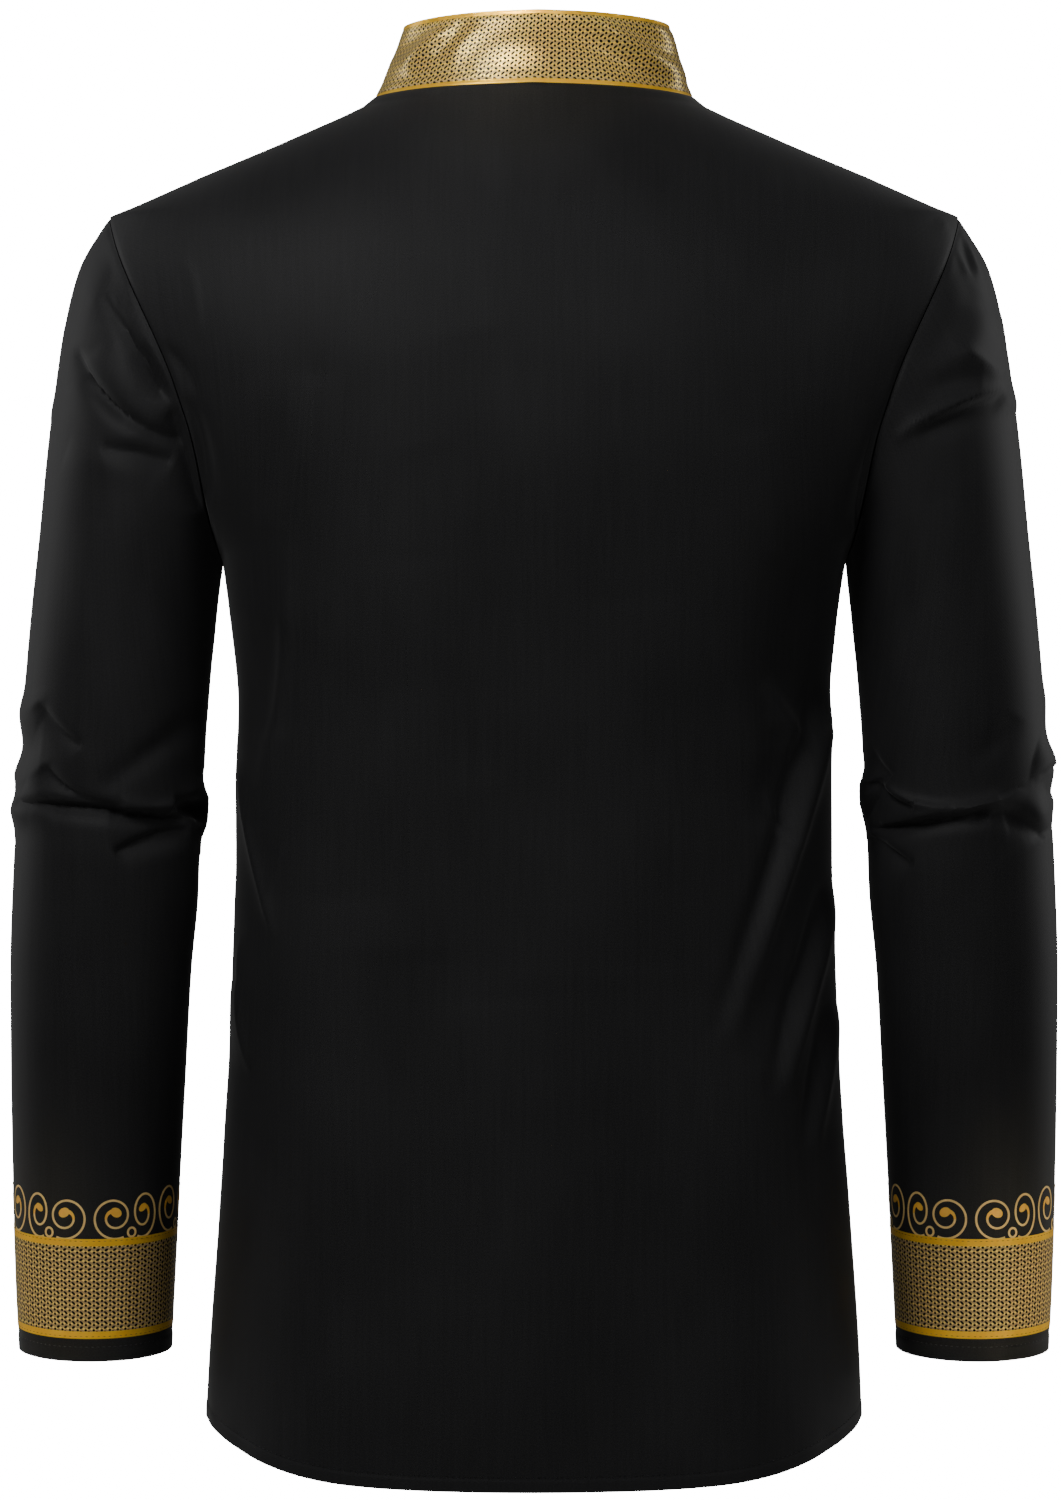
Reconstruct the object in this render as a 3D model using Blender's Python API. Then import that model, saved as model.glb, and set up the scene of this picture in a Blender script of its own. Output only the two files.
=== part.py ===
"""Dashiki shirt with a stand collar, in the hollow shape it has when worn.

Frame: +Z up, the front faces -Y and the wearer's left is +X.
The origin is the middle of the neck base, level with its two side points.
Sizes are in millimetres here and become metres in add_solid.
"""

import math
from collections import namedtuple

import bpy
import numpy as np

# Cloth walls and the space left at each seam.
CLOTH = 1.4
COLLAR_CLOTH = 2.0
SEAM_GAP = 0.4
LAYER_GAP = 0.3

# Heights on the body.
UNDERARM_Z = -250.0
SHOULDER_POINT_Z = -65.0
BACK_HEM_Z = -737.0
FRONT_HEM_Z = -725.0
SIDE_HEM_Z = -709.0

# Neck opening and stand collar.
NECK_HALF_WIDTH = 86.0
FRONT_NECK_DROP = 52.0
COLLAR_HEIGHT = 40.0
COLLAR_TOP_HALF_WIDTH = 72.0
COLLAR_TOP_DEPTH_RATIO = 0.86
COLLAR_TOP_SHIFT = -2.5
COLLAR_FRONT_GAP = 3.0
COLLAR_CORNER = 12.0

# Button strip and buttons.
PLACKET_HALF_WIDTH = 16.0
BUTTON_RADIUS = 5.5
BUTTON_THICKNESS = 2.5
BUTTON_HOLE_RADIUS = 0.8
BUTTON_HOLE_SPREAD = 1.35
BUTTON_HEIGHTS = (-78.0, -170.0, -262.0, -354.0, -446.0, -538.0, -630.0)

# Grid counts: columns from the middle to the neck point, on to the shoulder
# point, then rows below and above the underarm.
NECK_COLUMNS = 8
SHOULDER_COLUMNS = 6
LOWER_ROWS = 17
UPPER_ROWS = 12
SLEEVE_COLUMNS = 2 * UPPER_ROWS

# Horizontal sections of the body. Between the shoulder point and the
# underarm the half width follows the armhole instead.
Section = namedtuple("Section", "z half_width back_depth front_depth roundness")
BODY = (
    Section(-745.0, 177.0, 121.0, 116.0, 2.40),
    Section(-700.0, 176.0, 120.0, 116.0, 2.40),
    Section(-600.0, 169.5, 116.0, 117.0, 2.40),
    Section(-500.0, 163.5, 111.0, 119.0, 2.40),
    Section(-400.0, 160.5, 109.0, 121.5, 2.40),
    Section(-330.0, 160.0, 112.0, 125.0, 2.40),
    Section(-290.0, 163.0, 116.0, 128.5, 2.40),
    Section(-250.0, 168.0, 120.0, 131.0, 2.38),
    Section(-200.0, 180.0, 121.5, 127.0, 2.34),
    Section(-150.0, 200.0, 119.0, 117.0, 2.28),
    Section(-100.0, 215.0, 110.0, 101.0, 2.20),
    Section(-65.0, 229.0, 98.0, 88.0, 2.12),
    Section(-52.0, 200.0, 91.5, 81.0, 2.10),
    Section(-30.0, 148.0, 80.0, 71.0, 2.05),
    Section(0.0, 86.0, 62.0, 60.0, 2.00),
)

# The line of each shoulder, from the neck point out to the shoulder point.
Ridge = namedtuple("Ridge", "z half_width")
SHOULDER_LINE = (
    Ridge(-65.0, 229.0),
    Ridge(-60.5, 217.6),
    Ridge(-44.0, 181.0),
    Ridge(-28.0, 142.6),
    Ridge(-12.0, 106.0),
    Ridge(-6.0, 93.4),
    Ridge(0.0, 86.0),
)

# Each armhole is a tilted ellipse through the shoulder point and underarm.
Armhole = namedtuple("Armhole", "mid_x mid_z reach_x reach_z back_depth front_depth back_bow front_bow")
ARMHOLE = Armhole(198.5, -157.5, 30.5, 92.5, 74.0, 70.0, 8.0, 9.0)

# Sections of the left sleeve: the outer and inner edge seen from behind.
SleeveSection = namedtuple("SleeveSection", "outer_x outer_z inner_x inner_z half_depth mid_y")
SLEEVE = (
    SleeveSection(229.0, -65.0, 168.0, -250.0, 72.0, 2.0),
    SleeveSection(245.0, -93.0, 169.2, -262.0, 70.5, 3.0),
    SleeveSection(253.0, -125.0, 170.6, -275.0, 68.5, 4.0),
    SleeveSection(258.0, -158.0, 172.0, -290.0, 66.0, 5.0),
    SleeveSection(262.0, -192.0, 173.6, -306.0, 63.0, 6.5),
    SleeveSection(266.0, -235.0, 175.2, -326.0, 60.0, 8.0),
    SleeveSection(270.5, -278.0, 176.6, -346.0, 57.0, 9.0),
    SleeveSection(274.2, -322.0, 177.6, -368.0, 54.5, 10.0),
    SleeveSection(277.4, -370.0, 178.6, -396.0, 52.5, 10.0),
    SleeveSection(280.4, -420.0, 180.4, -428.0, 50.5, 8.0),
    SleeveSection(282.2, -470.0, 184.6, -470.0, 48.5, 4.5),
    SleeveSection(282.4, -530.0, 188.2, -530.0, 46.0, -2.0),
    SleeveSection(282.0, -590.0, 191.8, -590.0, 43.5, -9.0),
    SleeveSection(281.0, -645.0, 195.0, -645.0, 40.5, -16.0),
    SleeveSection(279.6, -679.5, 197.0, -679.5, 39.0, -20.0),
)
CUFF_TILT = 3.0

# Rows of the sleeve grid: distance along the sleeve's middle and row count.
Rows = namedtuple("Rows", "until count")
SLEEVE_ROWS = (Rows(188.0, 12), Rows(284.0, 13), Rows(None, 9))

# Folds are drawn in one plane as seen level with the waist from 3 m away, each
# from a start through a middle to an end point. A negative height is a
# trough. Trough side +1 or -1 sinks the cloth right or left of a ridge, going
# from start to end.
VIEW_DISTANCE = 3000.0
VIEW_HEIGHT = -352.0
# How far a surface may turn from the viewer before its folds are gone, and
# how near it must face before they are whole.
Facing = namedtuple("Facing", "none whole")
BODY_FACING = Facing(-0.25, 0.45)
SLEEVE_FACING = Facing(-0.55, 0.10)
Fold = namedtuple("Fold", "x0 z0 x1 z1 x2 z2 height width trough_side")
BACK_FOLDS = (
    Fold(-160.0, -357.0, -129.0, -433.0, -104.0, -509.0, 5.5, 13.0, -1),
    Fold(-160.0, -411.0, -145.0, -474.0, -133.0, -533.0, 3.5, 9.0, -1),
    Fold(-163.0, -482.0, -158.0, -533.0, -150.0, -584.0, 3.0, 9.0, -1),
    Fold(-160.0, -557.0, -163.0, -630.0, -166.0, -703.0, 3.0, 13.0, 0),
    Fold(-146.0, -271.0, -140.0, -320.0, -144.0, -366.0, -4.0, 20.0, 0),
    Fold(159.0, -363.0, 145.0, -422.0, 137.0, -476.0, 4.5, 11.0, 1),
    Fold(134.0, -249.0, 137.0, -320.0, 149.0, -379.0, 4.0, 16.0, 0),
    Fold(160.0, -465.0, 155.0, -503.0, 153.0, -541.0, 3.0, 9.0, 1),
    Fold(192.0, -85.0, 183.0, -120.0, 176.0, -163.0, 3.0, 9.0, 0),
    Fold(36.0, -127.0, 14.0, -271.0, -3.0, -473.0, -2.5, 22.0, 0),
    Fold(57.0, -187.0, 40.0, -286.0, 31.0, -372.0, -2.0, 16.0, 0),
    Fold(66.0, -249.0, 64.0, -357.0, 59.0, -465.0, 2.5, 26.0, 0),
    Fold(-52.0, -271.0, -55.0, -357.0, -63.0, -465.0, 2.5, 28.0, 0),
    Fold(110.0, -433.0, 114.0, -600.0, 117.0, -800.0, 4.0, 32.0, 0),
    Fold(72.0, -460.0, 73.0, -620.0, 72.0, -800.0, -4.0, 34.0, 0),
    Fold(8.0, -487.0, 5.0, -630.0, 3.0, -800.0, 3.0, 32.0, 0),
    Fold(-57.0, -476.0, -62.0, -630.0, -65.0, -800.0, -3.5, 32.0, 0),
    Fold(-111.0, -487.0, -117.0, -630.0, -120.0, -800.0, 4.0, 30.0, 0),
)
FRONT_FOLDS = (
    Fold(162.0, -345.0, 131.0, -420.0, 108.0, -500.0, 4.5, 12.0, 1),
    Fold(160.0, -420.0, 148.0, -480.0, 138.0, -545.0, 3.5, 10.0, 1),
    Fold(-158.0, -352.0, -136.0, -412.0, -118.0, -470.0, 4.5, 11.0, -1),
    Fold(-162.0, -440.0, -152.0, -500.0, -147.0, -556.0, 3.0, 10.0, -1),
    Fold(136.0, -205.0, 112.0, -262.0, 96.0, -330.0, 3.0, 15.0, 0),
    Fold(-140.0, -200.0, -118.0, -250.0, -98.0, -318.0, 3.5, 14.0, 0),
    Fold(70.0, -180.0, 66.0, -300.0, 62.0, -430.0, -2.5, 22.0, 0),
    Fold(-66.0, -190.0, -60.0, -320.0, -58.0, -460.0, -2.5, 24.0, 0),
    Fold(112.0, -470.0, 117.0, -620.0, 119.0, -800.0, 4.0, 30.0, 0),
    Fold(64.0, -450.0, 62.0, -610.0, 60.0, -800.0, -3.5, 28.0, 0),
    Fold(-62.0, -480.0, -64.0, -620.0, -66.0, -800.0, 3.0, 26.0, 0),
    Fold(-116.0, -470.0, -120.0, -620.0, -124.0, -800.0, -3.5, 28.0, 0),
)
LEFT_SLEEVE_FOLDS = (
    Fold(234.0, -105.0, 217.0, -128.0, 200.0, -161.0, 3.0, 8.0, 1),
    Fold(213.0, -133.0, 200.0, -152.0, 188.0, -175.0, 3.0, 7.0, 0),
    Fold(248.0, -135.0, 229.0, -158.0, 190.0, -186.0, 4.0, 9.0, 1),
    Fold(245.0, -147.0, 234.0, -159.0, 224.0, -171.0, 2.5, 7.0, 0),
    Fold(232.0, -188.0, 213.0, -191.0, 190.0, -199.0, 3.0, 8.0, 0),
    Fold(260.0, -206.0, 224.0, -201.0, 183.0, -211.0, 3.0, 14.0, 0),
    Fold(190.0, -175.0, 181.0, -200.0, 176.0, -241.0, -3.5, 10.0, 0),
    Fold(267.0, -329.0, 256.0, -340.0, 244.0, -350.0, 3.5, 7.0, 0),
    Fold(187.0, -338.0, 208.0, -357.0, 234.0, -372.0, 4.0, 8.0, -1),
    Fold(264.0, -362.0, 221.0, -383.0, 180.0, -370.0, 5.0, 8.0, 0),
    Fold(275.0, -382.0, 234.0, -393.0, 191.0, -391.0, -4.0, 7.0, 0),
    Fold(196.0, -383.0, 187.0, -389.0, 179.0, -392.0, 3.0, 6.0, 0),
    Fold(226.0, -407.0, 207.0, -402.0, 185.0, -399.0, -3.0, 7.0, 0),
    Fold(290.0, -384.0, 277.0, -384.0, 262.0, -380.0, 3.0, 9.0, 0),
    Fold(290.0, -333.0, 279.0, -334.0, 266.0, -332.0, 1.5, 8.0, 0),
)
RIGHT_SLEEVE_FOLDS = (
    Fold(-235.0, -102.0, -226.0, -118.0, -213.0, -138.0, 3.0, 8.0, 0),
    Fold(-234.0, -141.0, -249.0, -149.0, -258.0, -165.0, 4.0, 8.0, 1),
    Fold(-198.0, -183.0, -222.0, -167.0, -248.0, -158.0, 4.5, 9.0, -1),
    Fold(-211.0, -154.0, -225.0, -151.0, -239.0, -148.0, 2.5, 6.0, 0),
    Fold(-183.0, -233.0, -196.0, -236.0, -211.0, -242.0, 3.0, 8.0, 0),
    Fold(-251.0, -226.0, -256.0, -231.0, -262.0, -236.0, 2.0, 6.0, 0),
    Fold(-182.0, -369.0, -225.0, -385.0, -277.0, -363.0, 5.5, 8.0, 0),
    Fold(-183.0, -396.0, -227.0, -396.0, -274.0, -400.0, -4.0, 8.0, 0),
    Fold(-176.0, -362.0, -172.0, -379.0, -180.0, -394.0, 3.0, 7.0, 0),
    Fold(-183.0, -395.0, -193.0, -405.0, -204.0, -414.0, 3.0, 7.0, 0),
    Fold(-185.0, -370.0, -193.0, -376.0, -202.0, -382.0, 2.0, 6.0, 0),
    Fold(-265.0, -384.0, -275.0, -388.0, -284.0, -392.0, 1.5, 7.0, 0),
    Fold(-290.0, -356.0, -282.0, -356.0, -268.0, -352.0, 3.0, 8.0, 0),
)


def clear_scene():
    """Remove every object, so the script starts from nothing."""
    for item in list(bpy.data.objects):
        bpy.data.objects.remove(item, do_unlink=True)


def smooth_step(low, high, value):
    """Rise smoothly from 0 at low to 1 at high."""
    ratio = np.clip((value - low) / (high - low), 0.0, 1.0)
    return ratio * ratio * (3.0 - 2.0 * ratio)


def curve_through(knots, values, at):
    """Smooth curve through table values that never overshoots them."""
    knots = np.asarray(knots, float)
    values = np.asarray(values, float)
    steps = np.diff(knots)
    slopes = np.diff(values) / steps
    tangents = np.zeros_like(values)
    tangents[0] = slopes[0]
    tangents[-1] = slopes[-1]
    before = slopes[:-1]
    after = slopes[1:]
    same_way = before * after > 0.0
    total = np.where(same_way, before + after, 1.0)
    tangents[1:-1] = np.where(same_way, 2.0 * before * after / total, 0.0)
    at = np.clip(at, knots[0], knots[-1])
    cell = np.clip(np.searchsorted(knots, at) - 1, 0, len(steps) - 1)
    width = steps[cell]
    t = (at - knots[cell]) / width
    start = (2 * t**3 - 3 * t**2 + 1) * values[cell] + (t**3 - 2 * t**2 + t) * width * tangents[cell]
    end = (3 * t**2 - 2 * t**3) * values[cell + 1] + (t**3 - t**2) * width * tangents[cell + 1]
    return start + end


def body_value(name, z):
    """One column of the body table at height z."""
    return curve_through([row.z for row in BODY], [getattr(row, name) for row in BODY], z)


def ridge_half_width(z):
    """Half width of the shoulder line at height z."""
    return np.interp(z, [row.z for row in SHOULDER_LINE], [row.half_width for row in SHOULDER_LINE])


def ridge_height(half_width):
    """Height of the shoulder line at a distance from the middle."""
    rows = sorted(SHOULDER_LINE, key=lambda row: row.half_width)
    return np.interp(half_width, [row.half_width for row in rows], [row.z for row in rows])


def armhole_bow(rise, side):
    """How far the armhole bends in: rise is 0 at the underarm, 1 at the shoulder."""
    reach = ARMHOLE.back_bow if side > 0 else ARMHOLE.front_bow
    return reach * smooth_step(0.0, 0.40, rise) * (1.0 - smooth_step(0.48, 0.92, rise))


def armhole_edge(angle, side):
    """Point of the left armhole: angle 0 at the shoulder, pi at the underarm."""
    depth = ARMHOLE.back_depth if side > 0 else ARMHOLE.front_depth
    bow = armhole_bow((1.0 + np.cos(angle)) / 2.0, side)
    x = ARMHOLE.mid_x + ARMHOLE.reach_x * np.cos(angle) - bow
    y = side * depth * np.sin(angle)
    z = ARMHOLE.mid_z + ARMHOLE.reach_z * np.cos(angle)
    return x, y, z


def body_half_width(z, side):
    """Half width of the whole oval section at height z."""
    rise = np.clip((z - ARMHOLE.mid_z) / ARMHOLE.reach_z, -1.0, 1.0)
    edge_x, edge_y, _ = armhole_edge(np.arccos(rise), side)
    power = body_value("roundness", z)
    depth = body_depth(z, side)
    share = np.clip(1.0 - np.abs(edge_y / depth) ** power, 1e-6, 1.0)
    beside_armhole = edge_x / share ** (1.0 / power)
    below = body_value("half_width", z)
    width = np.where(z <= UNDERARM_Z, below, beside_armhole)
    return np.where(z >= SHOULDER_POINT_Z, ridge_half_width(z), width)


def body_depth(z, side):
    """Depth of the section at height z, on the back (+1) or front (-1)."""
    if side > 0:
        return body_value("back_depth", z)
    return body_value("front_depth", z)


def body_surface(x, z, side):
    """Depth position of the body form at x and height z."""
    power = body_value("roundness", z)
    share = np.clip(1.0 - (np.abs(x) / body_half_width(z, side)) ** power, 0.0, 1.0)
    return side * body_depth(z, side) * share ** (1.0 / power)


def body_level(x, y, z, side):
    """1 on the body form, less inside it and more outside."""
    power = body_value("roundness", z)
    across = (np.abs(x) / body_half_width(z, side)) ** power
    return across + (np.abs(y) / body_depth(z, side)) ** power


def body_normals(points, side):
    """Outward directions of the body form at its points."""
    x, y, z = points[..., 0], points[..., 1], points[..., 2]
    power = body_value("roundness", z)
    width = body_half_width(z, side)
    depth = body_depth(z, side)
    step = 0.5
    slope_x = power / width * (np.abs(x) / width) ** (power - 1.0) * np.sign(x)
    slope_y = power / depth * (np.abs(y) / depth) ** (power - 1.0) * np.sign(y)
    slope_z = (body_level(x, y, z + step, side) - body_level(x, y, z - step, side)) / (2.0 * step)
    return unit(np.stack([slope_x, slope_y, slope_z], axis=-1))


def unit(vectors):
    """Vectors scaled to length 1."""
    return vectors / np.maximum(np.linalg.norm(vectors, axis=-1, keepdims=True), 1e-9)


def seen_flat(points, side):
    """Positions in the flat plane where folds are drawn, from behind or in front."""
    scale = VIEW_DISTANCE / (VIEW_DISTANCE - side * points[..., 1])
    flat_x = points[..., 0] * scale
    flat_z = VIEW_HEIGHT + (points[..., 2] - VIEW_HEIGHT) * scale
    return np.stack([flat_x, flat_z], axis=-1)


def fold_rise(flat, fold):
    """Rise of the cloth at flat positions caused by one fold."""
    t = np.linspace(0.0, 1.0, 13)[:, None]
    start = np.array([fold.x0, fold.z0])
    middle = np.array([fold.x1, fold.z1])
    end = np.array([fold.x2, fold.z2])
    bend = 2.0 * middle - 0.5 * (start + end)
    line = (1 - t) ** 2 * start + 2 * t * (1 - t) * bend + t**2 * end
    nearest = np.full(flat.shape[:-1], 1e9)
    offset = np.zeros(flat.shape[:-1])
    along = np.zeros(flat.shape[:-1])
    for index in range(len(line) - 1):
        run = line[index + 1] - line[index]
        length = np.hypot(*run)
        rel = flat - line[index]
        part = np.clip((rel @ run) / length**2, 0.0, 1.0)
        gap = rel - part[..., None] * run
        distance = np.hypot(gap[..., 0], gap[..., 1])
        right = np.sign(rel[..., 0] * run[1] - rel[..., 1] * run[0])
        closer = distance < nearest
        nearest = np.where(closer, distance, nearest)
        offset = np.where(closer, distance * right, offset)
        along = np.where(closer, (index + part) / (len(line) - 1), along)
    taper = (4.0 * along * (1.0 - along)) ** 0.7
    rise = np.exp(-((offset / fold.width) ** 2))
    if fold.trough_side:
        beside = offset - fold.trough_side * 1.7 * fold.width
        rise = rise - 0.7 * np.exp(-((beside / fold.width) ** 2))
    return fold.height * taper * rise


def all_folds_rise(points, normals, back_folds, front_folds, limits):
    """Rise from the folds drawn behind and in front, each fading at the sides."""
    total = np.zeros(points.shape[:-1])
    for side, folds in ((1, back_folds), (-1, front_folds)):
        flat = seen_flat(points, side)
        facing = smooth_step(limits.none, limits.whole, side * normals[..., 1])
        for fold in folds:
            total = total + facing * fold_rise(flat, fold)
    return total


def panel_hem_height(share, side):
    """Height of the hem: share 0 at the middle, 1 at the side seam."""
    middle = BACK_HEM_Z if side > 0 else FRONT_HEM_Z
    return middle + (SIDE_HEM_Z - middle) * np.sin(share * math.pi / 2.0) ** 3.6


def body_half_grid(side):
    """Points of half a panel, rows from hem to top, columns middle to side."""
    columns = NECK_COLUMNS + SHOULDER_COLUMNS
    share = np.arange(columns + 1) / columns
    neck_share = np.clip(np.arange(columns + 1) / NECK_COLUMNS, 0.0, 1.0)
    shoulder_share = np.clip((np.arange(columns + 1) - NECK_COLUMNS) / SHOULDER_COLUMNS, 0.0, 1.0)
    angle = (1.0 - share) * math.pi / 2.0

    grid = np.zeros((LOWER_ROWS + UPPER_ROWS + 1, columns + 1, 3))
    hem = panel_hem_height(share, side)
    for row in range(LOWER_ROWS + 1):
        z = hem + (UNDERARM_Z - hem) * row / LOWER_ROWS
        power = body_value("roundness", z)
        x = body_half_width(z, side) * np.cos(angle) ** (2.0 / power)
        y = side * body_depth(z, side) * np.sin(angle) ** (2.0 / power)
        grid[row] = np.stack([x, y, z], axis=-1)

    low_x = grid[LOWER_ROWS, :, 0]
    neck_x = NECK_HALF_WIDTH * np.sin(neck_share * math.pi / 2.0)
    top_x = neck_x + (ARMHOLE.mid_x + ARMHOLE.reach_x - NECK_HALF_WIDTH) * shoulder_share
    drop = 0.0 if side > 0 else FRONT_NECK_DROP
    neck_z = -drop * np.cos(neck_share * math.pi / 2.0) ** 1.6 - SEAM_GAP
    top_z = np.where(shoulder_share > 0.0, ridge_height(top_x), neck_z)
    toward_edge = smooth_step(0.0, 1.0, share)
    for step in range(1, UPPER_ROWS + 1):
        rise = step / UPPER_ROWS
        middle_rise = math.sin(rise * math.pi / 2.0)
        edge_rise = (1.0 - math.cos(rise * math.pi)) / 2.0
        blend = middle_rise + (edge_rise - middle_rise) * toward_edge
        z = UNDERARM_Z + (top_z - UNDERARM_Z) * blend
        x = low_x + (top_x - low_x) * blend - armhole_bow(edge_rise, side) * share**4
        y = body_surface(x, z, side)
        grid[LOWER_ROWS + step] = np.stack([x, y, z], axis=-1)
    grid[-1, NECK_COLUMNS:, 1] = 0.0
    grid[:, -1, 1] = np.where(np.arange(len(grid)) <= LOWER_ROWS, 0.0, grid[:, -1, 1])
    return grid


def armhole_axis():
    """Direction across the left armhole's plane, pointing down the sleeve."""
    length = math.hypot(ARMHOLE.reach_x, ARMHOLE.reach_z)
    return np.array([ARMHOLE.reach_z / length, 0.0, -ARMHOLE.reach_x / length])


def panel_walls(side):
    """Outer and inner points of half a panel, with folds, left side."""
    base = body_half_grid(side)
    normals = body_normals(base, side)
    normals[:, 0, 0] = 0.0
    axis = armhole_axis()
    edge = normals[LOWER_ROWS:, -1]
    inward = np.minimum(edge @ axis, 0.0)
    normals[LOWER_ROWS:, -1] = edge - inward[:, None] * axis
    normals = unit(normals)
    return base, normals


def fade_mask(rows, columns):
    """1 over the panel, falling to 0 at the neck, shoulder and armhole seams."""
    share = np.arange(columns + 1) / columns
    level = np.clip((np.arange(rows + 1) - LOWER_ROWS) / UPPER_ROWS, 0.0, 1.0)
    top = 1.0 - smooth_step(0.75, 1.0, level)[:, None]
    edge = 1.0 - smooth_step(0.86, 1.0, share)[None, :] * smooth_step(0.0, 0.04, level)[:, None]
    return top * edge


def folded_panel(side, mirror):
    """Outer points and outward directions of a half panel with its folds."""
    base, normals = panel_walls(side)
    base = base * np.array([mirror, 1.0, 1.0])
    normals = normals * np.array([mirror, 1.0, 1.0])
    mask = fade_mask(len(base) - 1, base.shape[1] - 1)
    rise = all_folds_rise(base, normals, BACK_FOLDS, FRONT_FOLDS, BODY_FACING) * mask
    outer = base + rise[..., None] * normals
    outer[:LOWER_ROWS + 1, -1, 1] = 0.0
    outer[..., 1] += side * SEAM_GAP / 2.0 * seam_share(outer)
    return outer, normals


def seam_share(grid):
    """1 on the side and shoulder seams, so the back and front stay apart."""
    share = np.zeros(grid.shape[:-1])
    share[:LOWER_ROWS + 1, -1] = 1.0
    share[-1, NECK_COLUMNS:] = 1.0
    return share


def grid_faces(rows, columns, start, closed):
    """Four-sided faces of a grid whose first point has the given index."""
    faces = []
    width = columns if closed else columns + 1
    for row in range(rows):
        for column in range(columns):
            following = (column + 1) % width
            low = start + row * width
            high = low + width
            faces.append((low + column, low + following, high + following, high + column))
    return faces


def wall_mesh(outer, inner, closed):
    """Points and faces of a cloth wall between two matching grids."""
    rows = outer.shape[0] - 1
    width = outer.shape[1]
    columns = width if closed else width - 1
    count = outer.shape[0] * width
    points = np.concatenate([outer.reshape(-1, 3), inner.reshape(-1, 3)])
    faces = grid_faces(rows, columns, 0, closed)
    faces += [face[::-1] for face in grid_faces(rows, columns, count, closed)]
    for column in range(columns):
        following = (column + 1) % width
        last = rows * width
        faces.append((following, column, count + column, count + following))
        faces.append((last + column, last + following, count + last + following, count + last + column))
    if not closed:
        for row in range(rows):
            low = row * width
            high = low + width
            faces.append((low, high, count + high, count + low))
            faces.append((high + columns, low + columns, count + low + columns, count + high + columns))
    return points, faces


def add_solid(name, points, faces, material, flip=False):
    """Make one closed solid from millimetre points, shaded smooth."""
    if flip:
        faces = [face[::-1] for face in faces]
    mesh = bpy.data.meshes.new(name)
    mesh.from_pydata((points * 0.001).tolist(), [], faces)
    mesh.validate(clean_customdata=False)
    for polygon in mesh.polygons:
        polygon.use_smooth = True
    mesh.materials.append(material)
    item = bpy.data.objects.new(name, mesh)
    bpy.context.scene.collection.objects.link(item)
    return item


def add_material(name, red, green, blue, roughness):
    """Plain material of one colour."""
    material = bpy.data.materials.new(name)
    material.use_nodes = True
    shader = material.node_tree.nodes["Principled BSDF"]
    shader.inputs["Base Color"].default_value = (red, green, blue, 1.0)
    shader.inputs["Roughness"].default_value = roughness
    shader.inputs["Metallic"].default_value = 0.0
    return material


def add_back(material):
    """The back, one piece from the left side seam round to the right."""
    left, left_normals = folded_panel(1, 1.0)
    right, right_normals = folded_panel(1, -1.0)
    outer = np.concatenate([right[:, :0:-1], left], axis=1)
    normals = np.concatenate([right_normals[:, :0:-1], left_normals], axis=1)
    inner = outer - CLOTH * normals
    points, faces = wall_mesh(outer, inner, False)
    add_solid("back", points, faces, material, flip=True)


def add_front(name, mirror, material):
    """One front panel, from the middle opening to its side seam."""
    outer, normals = folded_panel(-1, mirror)
    outer[:, 0, 0] = mirror * SEAM_GAP / 2.0
    inner = outer - CLOTH * normals
    points, faces = wall_mesh(outer, inner, False)
    add_solid(name, points, faces, material, flip=mirror < 0.0)
    return outer, normals


def strip_points(outer, normals, x):
    """Points of a front panel at one distance from the middle."""
    span = outer[:, 1, 0] - outer[:, 0, 0]
    part = ((x - outer[:, 0, 0]) / span)[:, None]
    points = outer[:, 0] + part * (outer[:, 1] - outer[:, 0])
    directions = unit(normals[:, 0] + part * (normals[:, 1] - normals[:, 0]))
    return points, directions


def add_placket(left, left_normals, right, right_normals, material):
    """Button strip over the meeting front edges, made from their points."""
    columns = []
    for x in (PLACKET_HALF_WIDTH, PLACKET_HALF_WIDTH / 2.0):
        columns.append(strip_points(left, left_normals, x))
    middle = (left[:, 0] + right[:, 0]) / 2.0
    columns.append((middle, unit(left_normals[:, 0] + right_normals[:, 0])))
    for x in (-PLACKET_HALF_WIDTH / 2.0, -PLACKET_HALF_WIDTH):
        columns.append(strip_points(right, right_normals, x))
    base = np.stack([column[0] for column in columns], axis=1)
    normals = np.stack([column[1] for column in columns], axis=1)
    inner = base + LAYER_GAP * normals
    outer = base + (LAYER_GAP + CLOTH) * normals
    points, faces = wall_mesh(outer, inner, False)
    add_solid("placket", points, faces, material, flip=True)
    return outer[:, 2], normals[:, 2]


def add_button(name, centre, normal, material):
    """Round button with a raised rim and four holes, lying on the placket."""
    segments = 16
    profile = (
        (BUTTON_RADIUS - 0.4, 0.0),
        (BUTTON_RADIUS, 0.5),
        (BUTTON_RADIUS, BUTTON_THICKNESS - 0.5),
        (BUTTON_RADIUS - 0.6, BUTTON_THICKNESS),
        (BUTTON_RADIUS - 1.5, BUTTON_THICKNESS),
        (BUTTON_RADIUS - 2.0, BUTTON_THICKNESS - 0.6),
    )
    up = unit(np.array([0.0, 0.0, 1.0]) - normal[2] * normal)
    across = np.cross(up, normal)
    points = []
    for radius, height in profile:
        for index in range(segments):
            angle = 2.0 * math.pi * index / segments
            spoke = math.cos(angle) * across + math.sin(angle) * up
            points.append(centre + radius * spoke + (LAYER_GAP + height) * normal)
    faces = grid_faces(len(profile) - 1, segments, 0, True)
    faces = [face[::-1] for face in faces]
    faces.append(tuple(range(segments)))
    top = (len(profile) - 1) * segments
    faces.append(tuple(reversed(range(top, top + segments))))
    button = add_solid(name, np.array(points), faces, material)

    for across_side in (-1.0, 1.0):
        for up_side in (-1.0, 1.0):
            spot = centre + BUTTON_HOLE_SPREAD * (across_side * across + up_side * up)
            cut_hole(button, spot, normal, across, up)
    return button


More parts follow.
